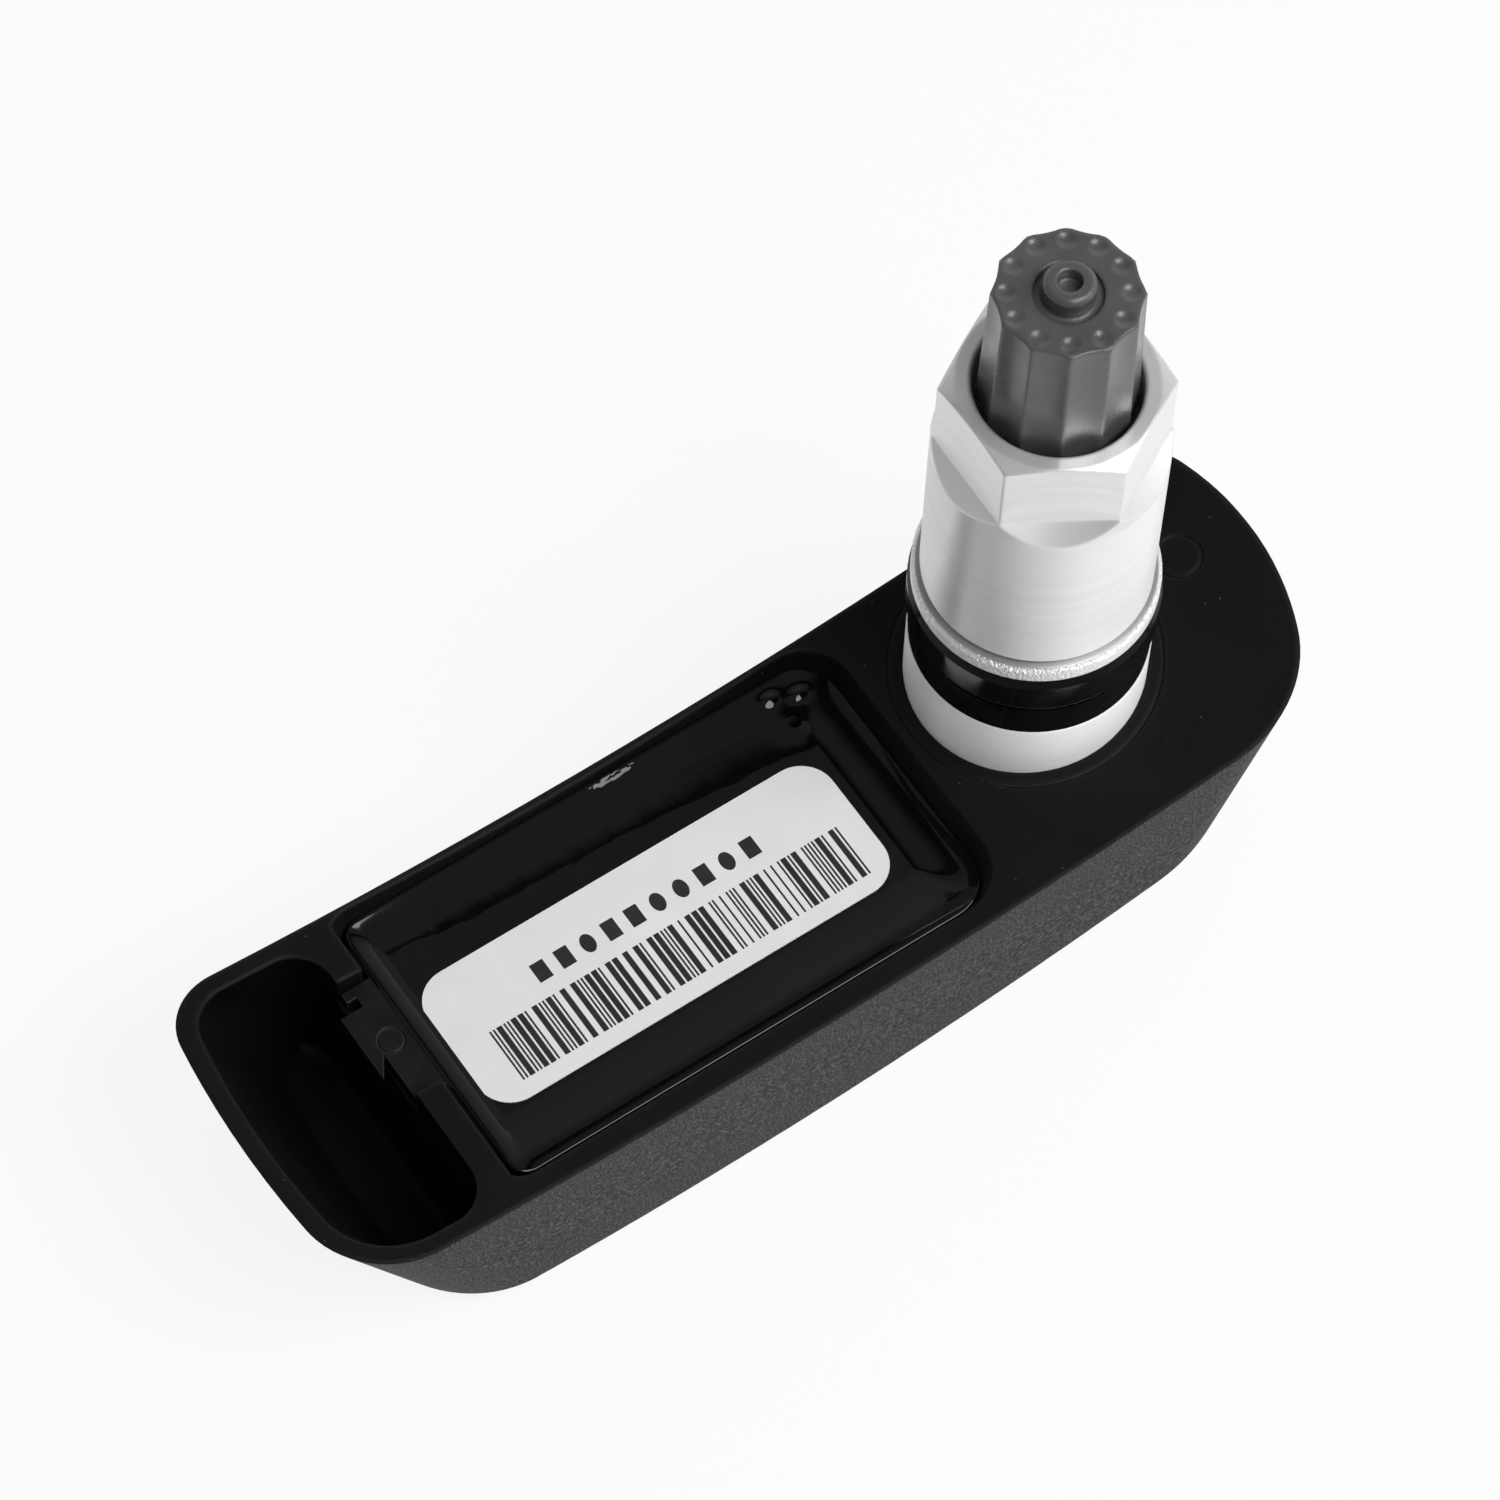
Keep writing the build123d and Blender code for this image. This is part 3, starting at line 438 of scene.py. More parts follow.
def potting_resin():
    """Glossy black resin, poured and set, with a thin skin of flow marks."""
    material, tree, shader = new_finish("potting_resin", IOR=1.53, Specular_IOR_Level=0.28)
    flow = use(tree, smears, Patch_Size=mm(7.0))
    fine = use(tree, grain, Grain_Size=mm(0.8), Patch_Size=mm(5.0))
    tree.links.new(blend(tree, flow["Mask"], grey(0.002), grey(0.0035)), shader["Base Color"])
    tree.links.new(remap(tree, flow["Mask"], 0.0, 1.0, 0.03, 0.075), shader["Roughness"])
    tree.links.new(bump(tree, fine["Height"], mm(0.0025), 0.35), shader["Normal"])
    return material


def label_paper():
    """Off-white coated paper with faint fibres."""
    material, tree, shader = new_finish("label_paper", IOR=1.4)
    fibres = use(tree, grain, Grain_Size=mm(0.12), Patch_Size=mm(3.0))
    shade = calc(tree, "MULTIPLY_ADD", fibres["Tone"], 0.5, calc(tree, "MULTIPLY", fibres["Height"], 0.5))
    tree.links.new(blend(tree, shade, (0.70, 0.70, 0.69, 1.0), (0.76, 0.76, 0.75, 1.0)), shader["Base Color"])
    tree.links.new(remap(tree, fibres["Tone"], 0.0, 1.0, 0.5, 0.62), shader["Roughness"])
    tree.links.new(bump(tree, fibres["Height"], mm(0.002), 0.4), shader["Normal"])
    return material


def printing_ink():
    """Black print, a little uneven where it soaked into the paper."""
    material, tree, shader = new_finish("printing_ink", IOR=1.45)
    soak = use(tree, grain, Grain_Size=mm(0.1), Patch_Size=mm(2.0))
    tree.links.new(blend(tree, soak["Height"], grey(0.008), grey(0.02)), shader["Base Color"])
    tree.links.new(remap(tree, soak["Tone"], 0.0, 1.0, 0.4, 0.55), shader["Roughness"])
    return material


def turned_aluminium():
    """Satin aluminium with fine rings from the lathe: matt on the foot, rough on the washer's edge, with
    painted shade in the gap under the nut.
    """
    material, tree, shader = new_finish("turned_aluminium", Anisotropic=0.85, Anisotropic_Rotation=0.25)
    height, radius = from_axis(tree)
    polish = remap(tree, height, mm(foot_top), mm(stem_polish_start), 0.2, 0.7)
    milled = remap(tree, height, mm(hexagon_start[0]), mm(hexagon_start[1]), 0.42, 0.3)
    above = calc(tree, "GREATER_THAN", height, mm(washer_low))
    below = calc(tree, "LESS_THAN", height, mm(washer_high))
    outer = calc(tree, "GREATER_THAN", radius, mm(washer_rough_radius))
    washer = calc(tree, "MULTIPLY", calc(tree, "MULTIPLY", above, below), outer)
    rings = use(tree, lathe_lines, Line_Width=mm(0.06))
    marks = use(tree, smears, Patch_Size=mm(6.0))
    coarse = use(tree, grain, Grain_Size=mm(0.22), Patch_Size=mm(3.0))
    nicks = use(tree, specks, Spacing=mm(1.1), Share=0.16, Reach=0.06)
    edges = use(tree, soft_edges, Radius=mm(0.3))
    colour = blend(tree, rings["Tone"], grey(0.84), grey(0.88))
    colour = blend(tree, calc(tree, "MULTIPLY", marks["Mask"], 0.5), colour, grey(0.82))
    colour = blend(tree, calc(tree, "MULTIPLY", nicks["Mask"], 0.4), colour, grey(0.3))
    # Painted shade: a dark band on the metal where the washer meets the nut, for the shade in the gap between
    # them.
    from_seam = calc(tree, "ABSOLUTE", calc(tree, "SUBTRACT", height, mm(seam_height)))
    near_seam = remap(tree, from_seam, mm(seam_reach[0]), mm(seam_reach[1]), 0.6, 0.0)
    seam_shade = calc(tree, "MULTIPLY", near_seam, remap(tree, radius, mm(seam_radius[0]), mm(seam_radius[1])))
    tree.links.new(blend(tree, seam_shade, colour, grey(0.16)), shader["Base Color"])
    tree.links.new(polish, shader["Metallic"])
    tree.links.new(calc(tree, "MULTIPLY_ADD", marks["Mask"], 0.05, milled), shader["Roughness"])
    tangent = add(tree, "ShaderNodeTangent", direction_type="RADIAL", axis="Z").outputs[0]
    tree.links.new(tangent, shader["Tangent"])
    turned = bump(tree, rings["Height"], mm(0.0012), 0.2, edges["Normal"])
    pitted = calc(tree, "MULTIPLY", coarse["Height"], washer)
    tree.links.new(bump(tree, pitted, mm(0.08), 1.0, turned), shader["Normal"])
    return material


def seal_rubber():
    """Black rubber with a soft sheen, smeared by handling."""
    material, tree, shader = new_finish("seal_rubber", IOR=1.52)
    marks = use(tree, smears, Patch_Size=mm(3.0))
    fine = use(tree, grain, Grain_Size=mm(0.1), Patch_Size=mm(2.0))
    tree.links.new(blend(tree, marks["Mask"], grey(0.003), grey(0.007)), shader["Base Color"])
    tree.links.new(remap(tree, marks["Mask"], 0.0, 1.0, 0.07, 0.16), shader["Roughness"])
    tree.links.new(bump(tree, fine["Height"], mm(0.002), 0.4), shader["Normal"])
    return material


def cap_plastic():
    """Mid-grey moulded plastic with a soft gloss, and a painted highlight along its eased edges."""
    material, tree, shader = new_finish("cap_plastic", IOR=1.5, Specular_IOR_Level=0.7)
    fine = use(tree, grain, Grain_Size=mm(0.1), Patch_Size=mm(2.0))
    marks = use(tree, smears, Patch_Size=mm(3.5))
    edges = use(tree, soft_edges, Radius=mm(0.35))
    colour = blend(tree, fine["Tone"], grey(0.06), grey(0.076))
    # Painted highlight: the eased edges are lightened where they catch the light.
    painted_edge_highlight = blend(tree, calc(tree, "MULTIPLY", edges["Edge"], 0.3), colour, grey(0.11))
    tree.links.new(painted_edge_highlight, shader["Base Color"])
    tree.links.new(remap(tree, marks["Mask"], 0.0, 1.0, 0.24, 0.34), shader["Roughness"])
    tree.links.new(bump(tree, fine["Height"], mm(0.003), 0.4, edges["Normal"]), shader["Normal"])
    return material


def plain_metal(name, dark, light, roughness):
    """Drawn or plated metal with soft patches, for the small pieces inside."""
    material, tree, shader = new_finish(name, Metallic=1.0)
    marks = use(tree, smears, Patch_Size=mm(2.5))
    fine = use(tree, grain, Grain_Size=mm(0.06), Patch_Size=mm(1.0))
    tree.links.new(blend(tree, marks["Mask"], dark, light), shader["Base Color"])
    tree.links.new(remap(tree, marks["Mask"], 0.0, 1.0, roughness, roughness + 0.1), shader["Roughness"])
    tree.links.new(bump(tree, fine["Height"], mm(0.002), 0.3), shader["Normal"])
    return material


def plain_moulding(name, dark, light, roughness):
    """Moulded or fired small piece with a fine grain."""
    material, tree, shader = new_finish(name)
    fine = use(tree, grain, Grain_Size=mm(0.08), Patch_Size=mm(1.5))
    tree.links.new(blend(tree, fine["Tone"], dark, light), shader["Base Color"])
    tree.links.new(remap(tree, fine["Tone"], 0.0, 1.0, roughness, roughness + 0.1), shader["Roughness"])
    tree.links.new(bump(tree, fine["Height"], mm(0.003), 0.4), shader["Normal"])
    return material


finishes = {
    "carrier_plastic": carrier_plastic(),
    "cup_plastic": cup_plastic(),
    "resin": potting_resin(),
    "label_paper": label_paper(),
    "aluminium": turned_aluminium(),
    "seal_rubber": seal_rubber(),
    "cap_plastic": cap_plastic(),
    "black_rubber": plain_moulding("black_rubber", grey(0.003), grey(0.006), 0.75),
    "board": plain_moulding("solder_mask", (0.012, 0.09, 0.035, 1.0), (0.02, 0.13, 0.05, 1.0), 0.3),
    "cell_steel": plain_metal("cell_steel", grey(0.55), grey(0.64), 0.28),
    "strap_steel": plain_metal("strap_steel", (0.56, 0.56, 0.54, 1.0), (0.64, 0.64, 0.62, 1.0), 0.24),
    "chip_plastic": plain_moulding("chip_plastic", grey(0.012), grey(0.022), 0.45),
    "ferrite": plain_moulding("ferrite", grey(0.05), grey(0.08), 0.5),
    "copper": plain_metal("enamelled_copper", (0.62, 0.28, 0.13, 1.0), (0.74, 0.37, 0.2, 1.0), 0.2),
    "ceramic": plain_moulding("chip_ceramic", (0.38, 0.3, 0.21, 1.0), (0.46, 0.37, 0.27, 1.0), 0.4),
    "screw_steel": plain_metal("zinc_plate", grey(0.45), grey(0.55), 0.3),
    "brass": plain_metal("brass", (0.68, 0.5, 0.22, 1.0), (0.78, 0.6, 0.3, 1.0), 0.25),
    "white_plastic": plain_moulding("white_plastic", (0.72, 0.7, 0.66, 1.0), (0.8, 0.78, 0.74, 1.0), 0.4),
}
ink = printing_ink()


def dress_frame():
    """Gives every CAD node the finish of its material slot in the record."""
    for subpart in frame["record"]["subparts"]:
        node = frame["nodes"][subpart["node"]]
        for slot in node.material_slots:
            slot.material = finishes[subpart["material_slot"]]


# Shapes that follow a rule


def new_shape_tree(name, inputs):
    """Empty geometry tree with named inputs, as kinds, and one shape for its output."""
    tree = bpy.data.node_groups.new(name, "GeometryNodeTree")
    for socket, kind in inputs.items():
        tree.interface.new_socket(socket, in_out="INPUT", socket_type=kind)
    tree.interface.new_socket("Geometry", in_out="OUTPUT", socket_type="NodeSocketGeometry")
    return tree, tree.nodes.new("NodeGroupInput").outputs, tree.nodes.new("NodeGroupOutput").inputs


def end_tree(tree, shape, place, material, target):
    """Puts a tree's shape in its place as plain faces of one material."""
    moved = add(tree, "GeometryNodeTransform", {"Geometry": shape, "Translation": place}).outputs[0]
    real = add(tree, "GeometryNodeRealizeInstances", {"Geometry": moved}).outputs[0]
    coloured = add(tree, "GeometryNodeSetMaterial", {"Geometry": real, "Material": material}).outputs[0]
    tree.links.new(coloured, target["Geometry"])


def grow(name, tree, values):
    """Plain mesh from a geometry tree with its inputs set."""
    holder = bpy.data.objects.new(name, bpy.data.meshes.new(name))
    bpy.context.scene.collection.objects.link(holder)
    modifier = holder.modifiers.new(name, "NODES")
    modifier.node_group = tree
    for item in tree.interface.items_tree:
        if item.name in values:
            modifier[item.identifier] = values[item.name]
    mesh = bpy.data.meshes.new_from_object(holder.evaluated_get(bpy.context.evaluated_depsgraph_get()))
    mesh.name = name
    bpy.data.objects.remove(holder)
    return mesh


# Pieces


def new_piece(name, mesh, body):
    """Finished piece that rides on a body."""
    piece = bpy.data.objects.new(name, mesh)
    bpy.context.scene.collection.objects.link(piece)
    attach(piece, body)
    return piece


# Where the resin lies, in millimetres: its outline, level and floor, the cup's rim and border, and the vent
ResinBed = namedtuple("ResinBed", "left right front back level floor rim border vent")


def resin_bed():
    """The resin's bed, taken from the solids round it."""
    low, high = (Vector(corner) * 1000 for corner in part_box("resin"))
    vent = sum((Vector(corner) * 1000 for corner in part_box("vent_tube")), Vector()) / 2
    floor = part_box("label")[0][2] * 1000
    border = cup_wall + skin_overlap
    left, right, front, back = low.x - cup_wall, high.x + border, low.y - border, high.y + border
    return ResinBed(left, right, front, back, floor + skin_lift, floor, high.z, border, vent)


def skin_loop(bed, inset):
    """Points round the resin's outline, a set distance inside it."""
    left, right, front, back = bed.left + inset, bed.right - inset, bed.front + inset, bed.back - inset
    corners = (
        (right, front, skin_valve_corner, (1, -1)),
        (right, back, skin_valve_corner, (1, 1)),
        (left, back, skin_divider_corner, (-1, 1)),
        (left, front, skin_divider_corner, (-1, -1)),
    )
    arcs = []
    for quarter, (x, y, corner, towards) in enumerate(corners):
        radius = max(corner - inset, least_corner)
        centre = Vector((x, y)) - Vector(towards) * radius
        turns = [quarter - 1 + step / skin_corner_points for step in range(skin_corner_points + 1)]
        angles = [math.radians(90 * turn) for turn in turns]
        arcs.append([centre + radius * Vector((math.cos(angle), math.sin(angle))) for angle in angles])
    counts = (skin_end_points, skin_side_points, skin_end_points, skin_side_points)
    loop = []
    for arc, next_arc, count in zip(arcs, arcs[1:] + arcs[:1], counts):
        loop += arc
        loop += [arc[-1].lerp(next_arc[0], step / (count + 1)) for step in range(1, count + 1)]
    return loop


def climb(wall, apart, further=0.0):
    """How far the resin stands above its level at a distance from one wall."""
    height, width, power, drop, drop_width = wall
    reach = width + further * min(1.0, apart / width) ** wave_growth
    risen = height * max(0.0, 1 - apart / reach) ** power
    return max(0.0, risen - drop * max(0.0, 1 - apart / drop_width) ** 2)


def wall_rise(bed, x, y):
    """How far the resin stands above its level, drawn up by all four walls."""
    height, width, *rest = wall_back
    slanted = (height, width + back_line_slant * (x - bed.left) / (bed.right - bed.left), *rest)
    wave = sum(size * noise.noise(Vector((x / length, size, 0))) for size, length in back_line_waves)
    rises = (
        climb(wall_front, y - bed.front),
        climb(wall_valve, bed.right - x),
        climb(slanted, bed.back - y, wave),
        climb(wall_divider, x - bed.left),
    )
    return sum(rise ** wall_blend for rise in rises) ** (1 / wall_blend)


def flow_marks(x, y):
    """Slow ripples over the whole resin, and streaks along its back."""
    ripple = ripple_height * noise.noise(Vector((x, y, 0)) / ripple_length)
    near = math.hypot((x - streak_spot[0]) / streak_reach[0], (y - streak_spot[1]) / streak_reach[1])
    streak = noise.noise(Vector((x / streak_size[0], y / streak_size[1], 0)))
    return ripple + streak_height * streak * math.exp(-(near ** 2))


def droplets(x, y):
    """Droplets that have set on the resin."""
    broken = noise.noise(Vector((x, y, 1)) / drop_grain)
    total = 0.0
    for at, across, tall, length, width, rough in drop_spots:
        fall = math.exp(-((x - at) / length) ** 2 - ((y - across) / width) ** 2)
        total += tall * (1 + rough * broken) * fall
    return total


def skin_height(bed, point, inset):
    """Height of the resin's top at a point that lies an inset inside its outline."""
    x, y = point
    edge = lip_drop * max(0.0, 1 - inset / lip_width) ** 2
    marks = flow_marks(x, y) * min(1.0, inset / ripple_fade)
    drops = droplets(x, y) * min(1.0, inset / drop_fade)
    from_vent = math.hypot(x - bed.vent.x, y - bed.vent.y)
    mound = vent_mound_height * math.exp(-((from_vent / vent_mound_width) ** 2))
    return bed.level + wall_rise(bed, x, y) - edge + marks + drops + mound


def skin_mesh(bed):
    """Closed skin, of loops that run outwards along its underside and then inwards over its top."""
    reach = 0.5 * (bed.back - bed.front) - 2 * least_corner
    rim_edge = bed.border + rim_margin
    underside = ((reach, bed.floor), (2 * bed.border, bed.floor), (rim_edge, bed.rim), (0.0, bed.rim))
    loops = []
    for inset, base in underside:
        outline = skin_loop(bed, inset)
        tops = [skin_height(bed, point, inset) for point in outline]
        loops.append([(*point, min(base + skin_gap, top - skin_gap)) for point, top in zip(outline, tops)])
    for step in range(skin_loops + 1):
        inset = reach * (step / skin_loops) ** loop_crowding
        loops.append([(*point, skin_height(bed, point, inset)) for point in skin_loop(bed, inset)])
    size = len(loops[0])
    faces = [tuple(reversed(range(size))), tuple(range(size * (len(loops) - 1), size * len(loops)))]
    for row in range(len(loops) - 1):
        for step in range(size):
            a, b = row * size + step, row * size + (step + 1) % size
            faces.append((a, b, b + size, a + size))
    mesh = bpy.data.meshes.new("resin_skin")
    mesh.from_pydata([Vector(point) / 1000 for loop in loops for point in loop], [], faces)
    mesh.materials.append(finishes["resin"])
    return mesh


def vent_cutter(bed):
    """Round plug that cuts the vent's hole."""
    plug = bmesh.new()
    place = Matrix.Translation((mm(bed.vent.x), mm(bed.vent.y), mm(bed.rim)))
    radius = mm(vent_hole_radius)
    bmesh.ops.create_cone(plug, cap_ends=True, segments=vent_hole_sides, radius1=radius, radius2=radius,
                          depth=mm(vent_cut_depth), matrix=place)
    mesh = bpy.data.meshes.new("vent_hole")
    plug.to_mesh(mesh)
    plug.free()
    return mesh


def build_resin_skin():
    """Top of the poured resin: drawn up at the walls and over the cup's rim, with the vent's hole."""
    bed = resin_bed()
    new_piece("resin_skin", cut(skin_mesh(bed), [vent_cutter(bed)]), "sensor")


def thread_groove():
    """Tree: a three-sided groove wound round the valve's axis."""
    number = "NodeSocketFloat"
    inputs = {"Steps": "NodeSocketInt", "Turns": number, "Radius": number, "Height": number,
              "Groove Size": number, "Place": "NodeSocketVector", "Metal": "NodeSocketMaterial"}
    tree, source, target = new_shape_tree("thread_groove", inputs)
    line = {"Resolution": source["Steps"], "Rotations": source["Turns"], "Start Radius": source["Radius"],
            "End Radius": source["Radius"], "Height": source["Height"], "Reverse": True}
    winding = add(tree, "GeometryNodeCurveSpiral", line).outputs[0]
    upright = add(tree, "GeometryNodeSetCurveNormal", {"Curve": winding}, mode="Z_UP").outputs[0]
    three_sided = {"Resolution": 3, "Radius": source["Groove Size"]}
    section = add(tree, "GeometryNodeCurvePrimitiveCircle", three_sided).outputs[0]
    wound = {"Curve": upright, "Profile Curve": section, "Fill Caps": True}
    groove = add(tree, "GeometryNodeCurveToMesh", wound).outputs[0]
    end_tree(tree, groove, source["Place"], source["Metal"], target)
    return tree


def weld(mesh, gap):
    """Joins a mesh's points that lie within a small gap, and drops faces with no area."""
    joined = bmesh.new()
    joined.from_mesh(mesh)
    bmesh.ops.remove_doubles(joined, verts=joined.verts, dist=gap)
    bmesh.ops.dissolve_degenerate(joined, edges=joined.edges, dist=gap)
    joined.to_mesh(mesh)
    joined.free()


def cut(mesh, cutters):
    """Mesh with the cutters' meshes taken out of it."""
    scene = bpy.context.scene.collection.objects
    blank = bpy.data.objects.new(mesh.name + "_blank", mesh)
    scene.link(blank)
    tools = []
    for index, cutter in enumerate(cutters):
        tool = bpy.data.objects.new(f"{mesh.name}_cutter_{index}", cutter)
        scene.link(tool)
        step = blank.modifiers.new(tool.name, "BOOLEAN")
        step.operation = "DIFFERENCE"
        step.object = tool
        tools.append(tool)
    finished = bpy.data.meshes.new_from_object(blank.evaluated_get(bpy.context.evaluated_depsgraph_get()))
    finished.name = mesh.name
    for made in (blank, *tools):
        bpy.data.objects.remove(made)
    weld(finished, mm(cut_weld))
    finished.shade_smooth()
    finished.set_sharp_from_angle(angle=math.radians(sharp_angle))
    return finished


def closed_copy(node, name, finish):
    """Copy of a node's mesh with its triangles joined up."""
    whole = bmesh.new()
    whole.from_mesh(frame["nodes"][node].data)
    bmesh.ops.remove_doubles(whole, verts=whole.verts, dist=mm(loose_weld))
    mesh = bpy.data.meshes.new(name)
    whole.to_mesh(mesh)
    whole.free()
    mesh.materials.clear()
    mesh.materials.append(finishes[finish])
    return mesh


def build_threaded_stem():
    """The valve's stem with the threads for its nut and its cap cut into it."""
    stem = closed_copy("valve_stem", "threaded_stem", "aluminium")
    tree = thread_groove()
    grooves = []
    for radius, pitch, depth, start, end in (stem_thread, tip_thread):
        size = groove_share * pitch
        grooves.append(grow("thread_groove", tree, {
            "Steps": thread_steps, "Turns": (end - start) / pitch, "Radius": mm(radius - depth + size),
            "Height": mm(end - start), "Groove Size": mm(size), "Place": (0.0, 0.0, mm(start)),
            "Metal": finishes["aluminium"],
        }))
    piece = new_piece("threaded_stem", cut(stem, grooves), "sensor")
    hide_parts("valve_stem")


def build_core_spring():
    """The valve core's spring, copied from its CAD node with its triangles joined."""
    mesh = closed_copy("core_spring", "spring_coil", "strap_steel")
    mesh.shade_smooth()
    piece = new_piece("spring_coil", mesh, "sensor")
    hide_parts("core_spring")
    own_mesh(piece)


# Print on the label


def printed_bars():
    """Tree: a row of thin and thick bars with uneven gaps, spread over the row's length."""
    whole, number = "NodeSocketInt", "NodeSocketFloat"
    inputs = {"Bar Count": whole, "Row Length": number, "Bar Height": number, "Ink Thickness": number,
              "Place": "NodeSocketVector", "Seed": whole, "Ink": "NodeSocketMaterial"}
    tree, source, target = new_shape_tree("printed_bars", inputs)
    points = add(tree, "GeometryNodeMeshLine", {"Count": source["Bar Count"]}).outputs[0]
    thick_draw = {"Probability": thick_bar_share, "Seed": source["Seed"]}
    thick = add(tree, "FunctionNodeRandomValue", thick_draw, data_type="BOOLEAN")
    gap_draw = {"Probability": wide_gap_share, "Seed": calc(tree, "ADD", source["Seed"], 1.0)}
    apart = add(tree, "FunctionNodeRandomValue", gap_draw, data_type="BOOLEAN")
    width = calc(tree, "MULTIPLY_ADD", thick.outputs[3], widening, 1.0)
    gap = calc(tree, "MULTIPLY_ADD", apart.outputs[3], widening, 1.0)
    row = add(tree, "GeometryNodeAccumulateField", {"Value": calc(tree, "ADD", width, gap)}).outputs
    unit = calc(tree, "DIVIDE", source["Row Length"], row["Total"])
    middle = calc(tree, "MULTIPLY", calc(tree, "MULTIPLY_ADD", width, 0.5, row["Trailing"]), unit)
    spot = add(tree, "ShaderNodeCombineXYZ", {"X": middle}).outputs[0]
    spread = add(tree, "GeometryNodeSetPosition", {"Geometry": points, "Position": spot}).outputs[0]
    size = {"X": calc(tree, "MULTIPLY", width, unit), "Y": source["Bar Height"], "Z": source["Ink Thickness"]}
    scale = add(tree, "ShaderNodeCombineXYZ", size).outputs[0]
    bar = add(tree, "GeometryNodeMeshCube", {"Size": (1.0, 1.0, 1.0)}).outputs[0]
    settings = {"Points": spread, "Instance": bar, "Scale": scale}
    bars = add(tree, "GeometryNodeInstanceOnPoints", settings).outputs[0]
    end_tree(tree, bars, source["Place"], source["Ink"], target)
    return tree


def printed_marks():
    """Tree: a row of plain dots and blocks."""
    whole, number = "NodeSocketInt", "NodeSocketFloat"
    inputs = {"Mark Count": whole, "Row Length": number, "Mark Width": number, "Mark Height": number,
              "Ink Thickness": number, "Place": "NodeSocketVector", "Seed": whole,
              "Ink": "NodeSocketMaterial"}
    tree, source, target = new_shape_tree("printed_marks", inputs)
    pitch = calc(tree, "DIVIDE", source["Row Length"], source["Mark Count"])
    start = add(tree, "ShaderNodeCombineXYZ", {"X": calc(tree, "MULTIPLY", pitch, 0.5)}).outputs[0]
    offset = add(tree, "ShaderNodeCombineXYZ", {"X": pitch}).outputs[0]
    line = {"Count": source["Mark Count"], "Start Location": start, "Offset": offset}
    points = add(tree, "GeometryNodeMeshLine", line).outputs[0]
    dot = add(tree, "GeometryNodeMeshCylinder", {"Vertices": 24, "Radius": 0.5, "Depth": 1.0}).outputs[0]
    block = add(tree, "GeometryNodeMeshCube", {"Size": (1.0, 1.0, 1.0)}).outputs[0]
    shapes = add(tree, "GeometryNodeGeometryToInstance")
    tree.links.new(dot, shapes.inputs[0])
    tree.links.new(block, shapes.inputs[0])
    chance = add(tree, "FunctionNodeRandomValue", {"Seed": source["Seed"]}, data_type="BOOLEAN").outputs[3]
    size = {"X": source["Mark Width"], "Y": source["Mark Height"], "Z": source["Ink Thickness"]}
    scale = add(tree, "ShaderNodeCombineXYZ", size).outputs[0]
    settings = {"Points": points, "Instance": shapes.outputs[0], "Pick Instance": True,
                "Instance Index": chance, "Scale": scale}
    marks = add(tree, "GeometryNodeInstanceOnPoints", settings).outputs[0]
    end_tree(tree, marks, source["Place"], source["Ink"], target)
    return tree


def print_label():
    """Bars along the label's front half and plain marks along its back half."""
    low, high = (Vector(corner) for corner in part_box("label"))
    top = high.z + mm(0.5 * ink_thickness)
    common = {"Ink Thickness": mm(ink_thickness), "Seed": print_seed, "Ink": ink}
    bars = {
        "Bar Count": bar_count, "Row Length": high.x - low.x - mm(bar_row_start + bar_row_end),
        "Bar Height": mm(bar_height), **common,
        "Place": (low.x + mm(bar_row_start), low.y + mm(bar_front_margin + 0.5 * bar_height), top),
    }
    marks = {
        "Mark Count": mark_count, "Row Length": high.x - low.x - mm(mark_row_start + mark_row_end),
        "Mark Width": mm(mark_width), "Mark Height": mm(mark_height), **common,
        "Place": (low.x + mm(mark_row_start), low.y + mm(mark_front_margin + 0.5 * mark_height), top),
    }
    new_piece("label_bars", grow("label_bars", printed_bars(), bars), "sensor")
    new_piece("label_marks", grow("label_marks", printed_marks(), marks), "sensor")


# Studio


def build_floor():
    """Plain pale floor that shows white, and keeps a faint shadow."""
    half = mm(floor_size) / 2
    low = cad_box[0][2]
    mesh = bpy.data.meshes.new("studio_floor")
    corners = [(-half, -half, low), (half, -half, low), (half, half, low), (-half, half, low)]
    mesh.from_pydata(corners, [], [(0, 1, 2, 3)])
    material = bpy.data.materials.new("studio_floor")
    material.use_nodes = True
    tree = material.node_tree
    shader = tree.nodes["Principled BSDF"]
    shader.inputs["Base Color"].default_value = grey(floor_grey)
    shader.inputs["Roughness"].default_value = floor_roughness
    path = add(tree, "ShaderNodeLightPath").outputs
    seen = calc(tree, "MAXIMUM", path["Is Camera Ray"], path["Is Glossy Ray"])
    seen = calc(tree, "MAXIMUM", seen, path["Is Transmission Ray"])
    white = add(tree, "ShaderNodeEmission", {"Color": grey(1.0), "Strength": 1.0}).outputs[0]
    share = calc(tree, "MULTIPLY", seen, floor_white_share)
    mixed = add(tree, "ShaderNodeMixShader", {0: share, 1: shader.outputs[0], 2: white})
    tree.links.new(mixed.outputs[0], tree.nodes["Material Output"].inputs["Surface"])
    mesh.materials.append(material)
    floor = bpy.data.objects.new("studio_floor", mesh)
    bpy.context.scene.collection.objects.link(floor)


def build_softbox(name, place, aim, width, height, power):
    """Area lamp at a place, turned to face its aim."""
    lamp = bpy.data.lights.new(name, "AREA")
    lamp.shape = "RECTANGLE"
    lamp.size = mm(width)
    lamp.size_y = mm(height)
    lamp.energy = power
    made = bpy.data.objects.new(name, lamp)
    start = Vector(place) / 1000
    facing = (Vector(aim) / 1000 - start).to_track_quat("-Z", "Y").to_matrix().to_4x4()
    made.matrix_world = Matrix.Translation(start) @ facing
    bpy.context.scene.collection.objects.link(made)


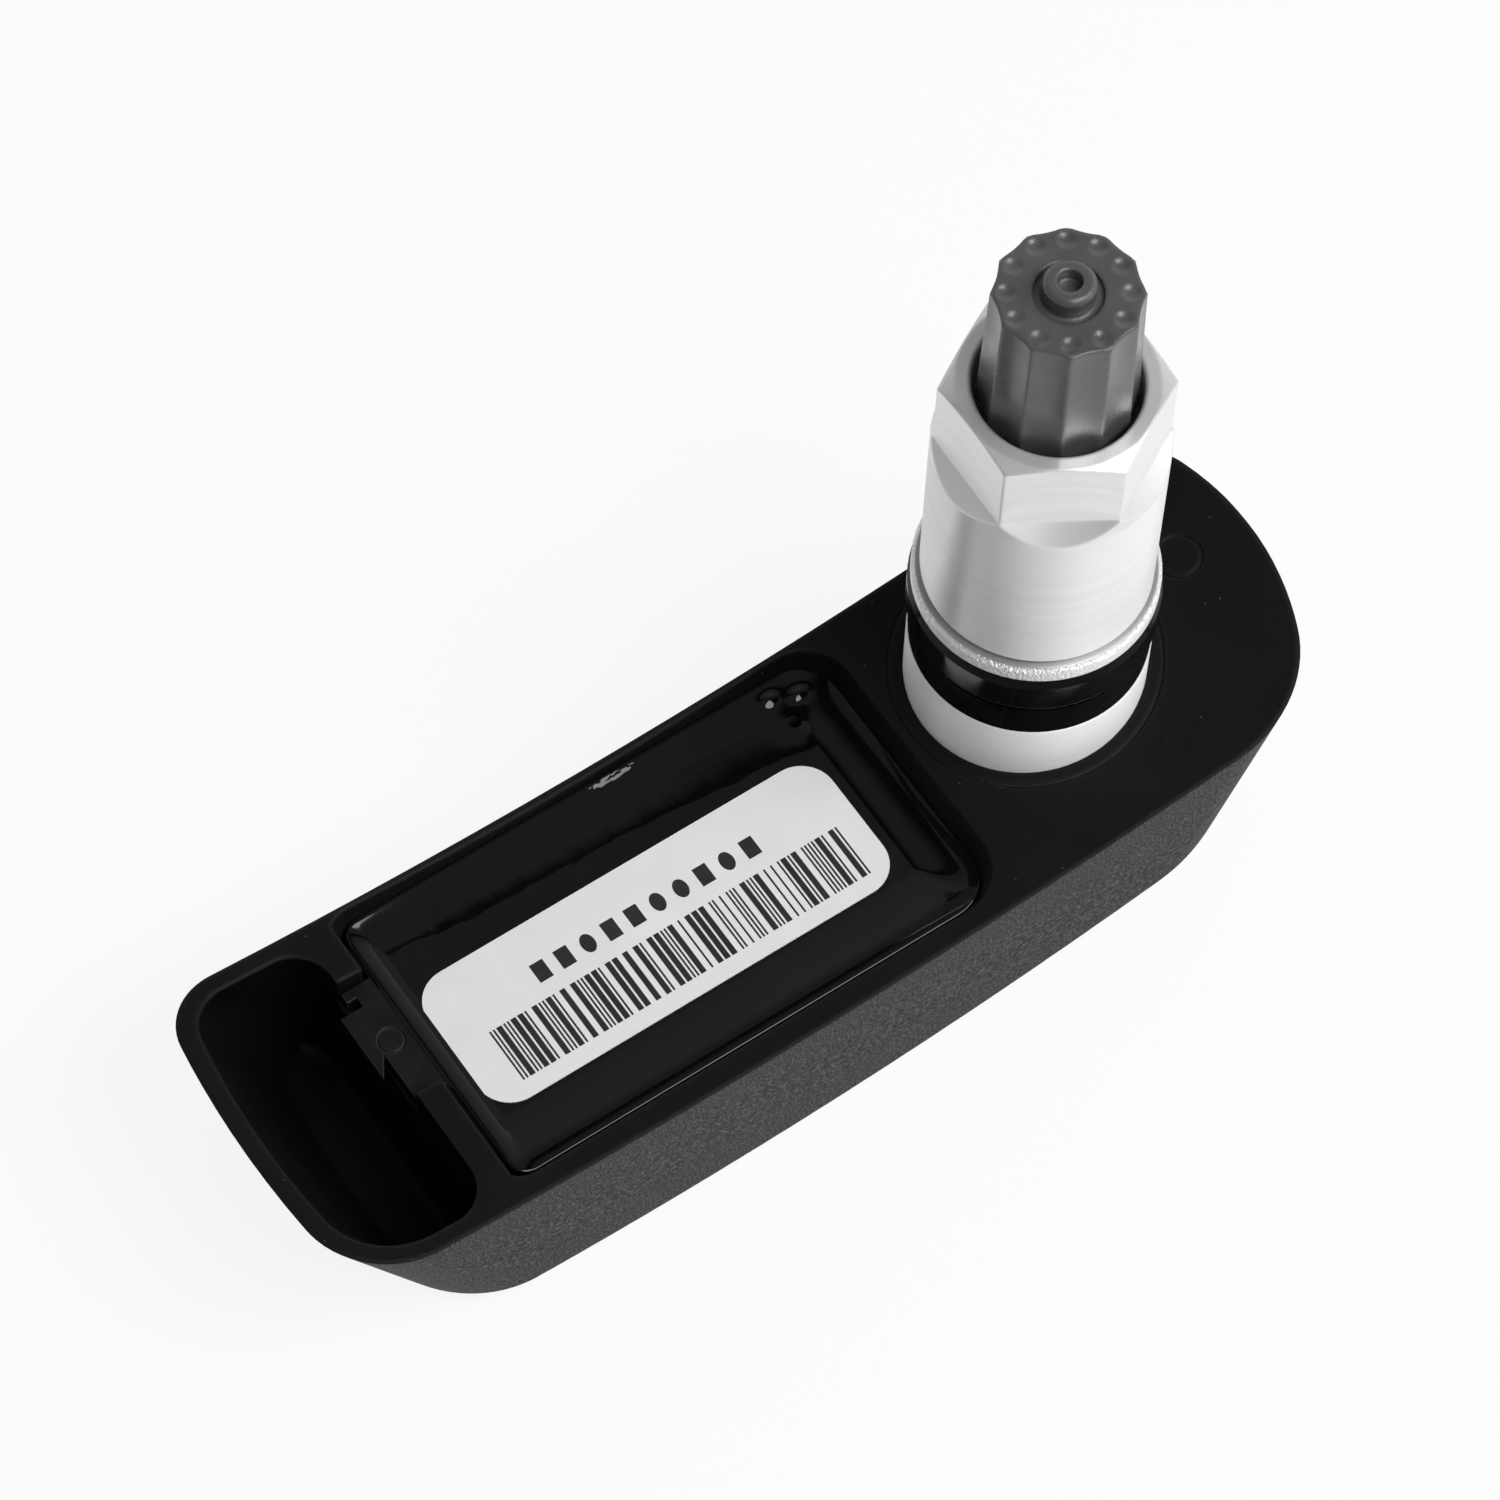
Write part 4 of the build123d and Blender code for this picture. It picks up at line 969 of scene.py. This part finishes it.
def build_world():
    """Studio round the part, in bands from the horizon behind it, over the top, to the one in front."""
    world = bpy.data.worlds.new("studio")
    bpy.context.scene.world = world
    world.use_nodes = True
    tree = world.node_tree
    towards = add(tree, "ShaderNodeTexCoord").outputs["Generated"]
    turn = {"Vector": towards, "Rotation": (0.0, 0.0, math.radians(-surround_turn))}
    turned = add(tree, "ShaderNodeMapping", turn, vector_type="VECTOR").outputs[0]
    parts = add(tree, "ShaderNodeSeparateXYZ", {"Vector": turned}).outputs
    angle = calc(tree, "ARCTAN2", parts[2], parts[1])
    bands = add(tree, "ShaderNodeValToRGB", {"Fac": calc(tree, "DIVIDE", angle, math.pi)})
    stops = bands.color_ramp.elements
    for degrees, brightness in surroundings[1:-1]:
        stops.new(degrees / 180).color = grey(brightness)
    stops[0].color = grey(surroundings[0][1])
    stops[-1].color = grey(surroundings[-1][1])
    seen = add(tree, "ShaderNodeLightPath").outputs["Is Camera Ray"]
    backdrop = tree.nodes["Background"]
    tree.links.new(blend(tree, seen, bands.outputs[0], grey(1.0)), backdrop.inputs["Color"])
    backdrop.inputs["Strength"].default_value = 1.0


def build_camera():
    """Camera above the front left of the carrier."""
    camera = bpy.data.cameras.new("camera")
    camera.lens = camera_lens
    camera.sensor_fit = "HORIZONTAL"
    made = bpy.data.objects.new("camera", camera)
    turn = Matrix.Rotation(math.radians(camera_azimuth), 4, "Z")
    tip = Matrix.Rotation(math.radians(90 - camera_elevation), 4, "X")
    roll = Matrix.Rotation(math.radians(camera_roll), 4, "Z")
    facing = turn @ tip @ roll
    away = (facing @ Vector((0, 0, mm(camera_distance), 0))).to_3d()
    made.matrix_world = Matrix.Translation(Vector(aim_point) / 1000 + away) @ facing
    bpy.context.scene.collection.objects.link(made)
    bpy.context.scene.camera = made


dress_frame()
build_resin_skin()
build_threaded_stem()
build_core_spring()
print_label()
build_floor()
for softbox in softboxes:
    build_softbox(*softbox)
build_world()
build_camera()
bpy.context.scene.view_settings.view_transform = "Standard"
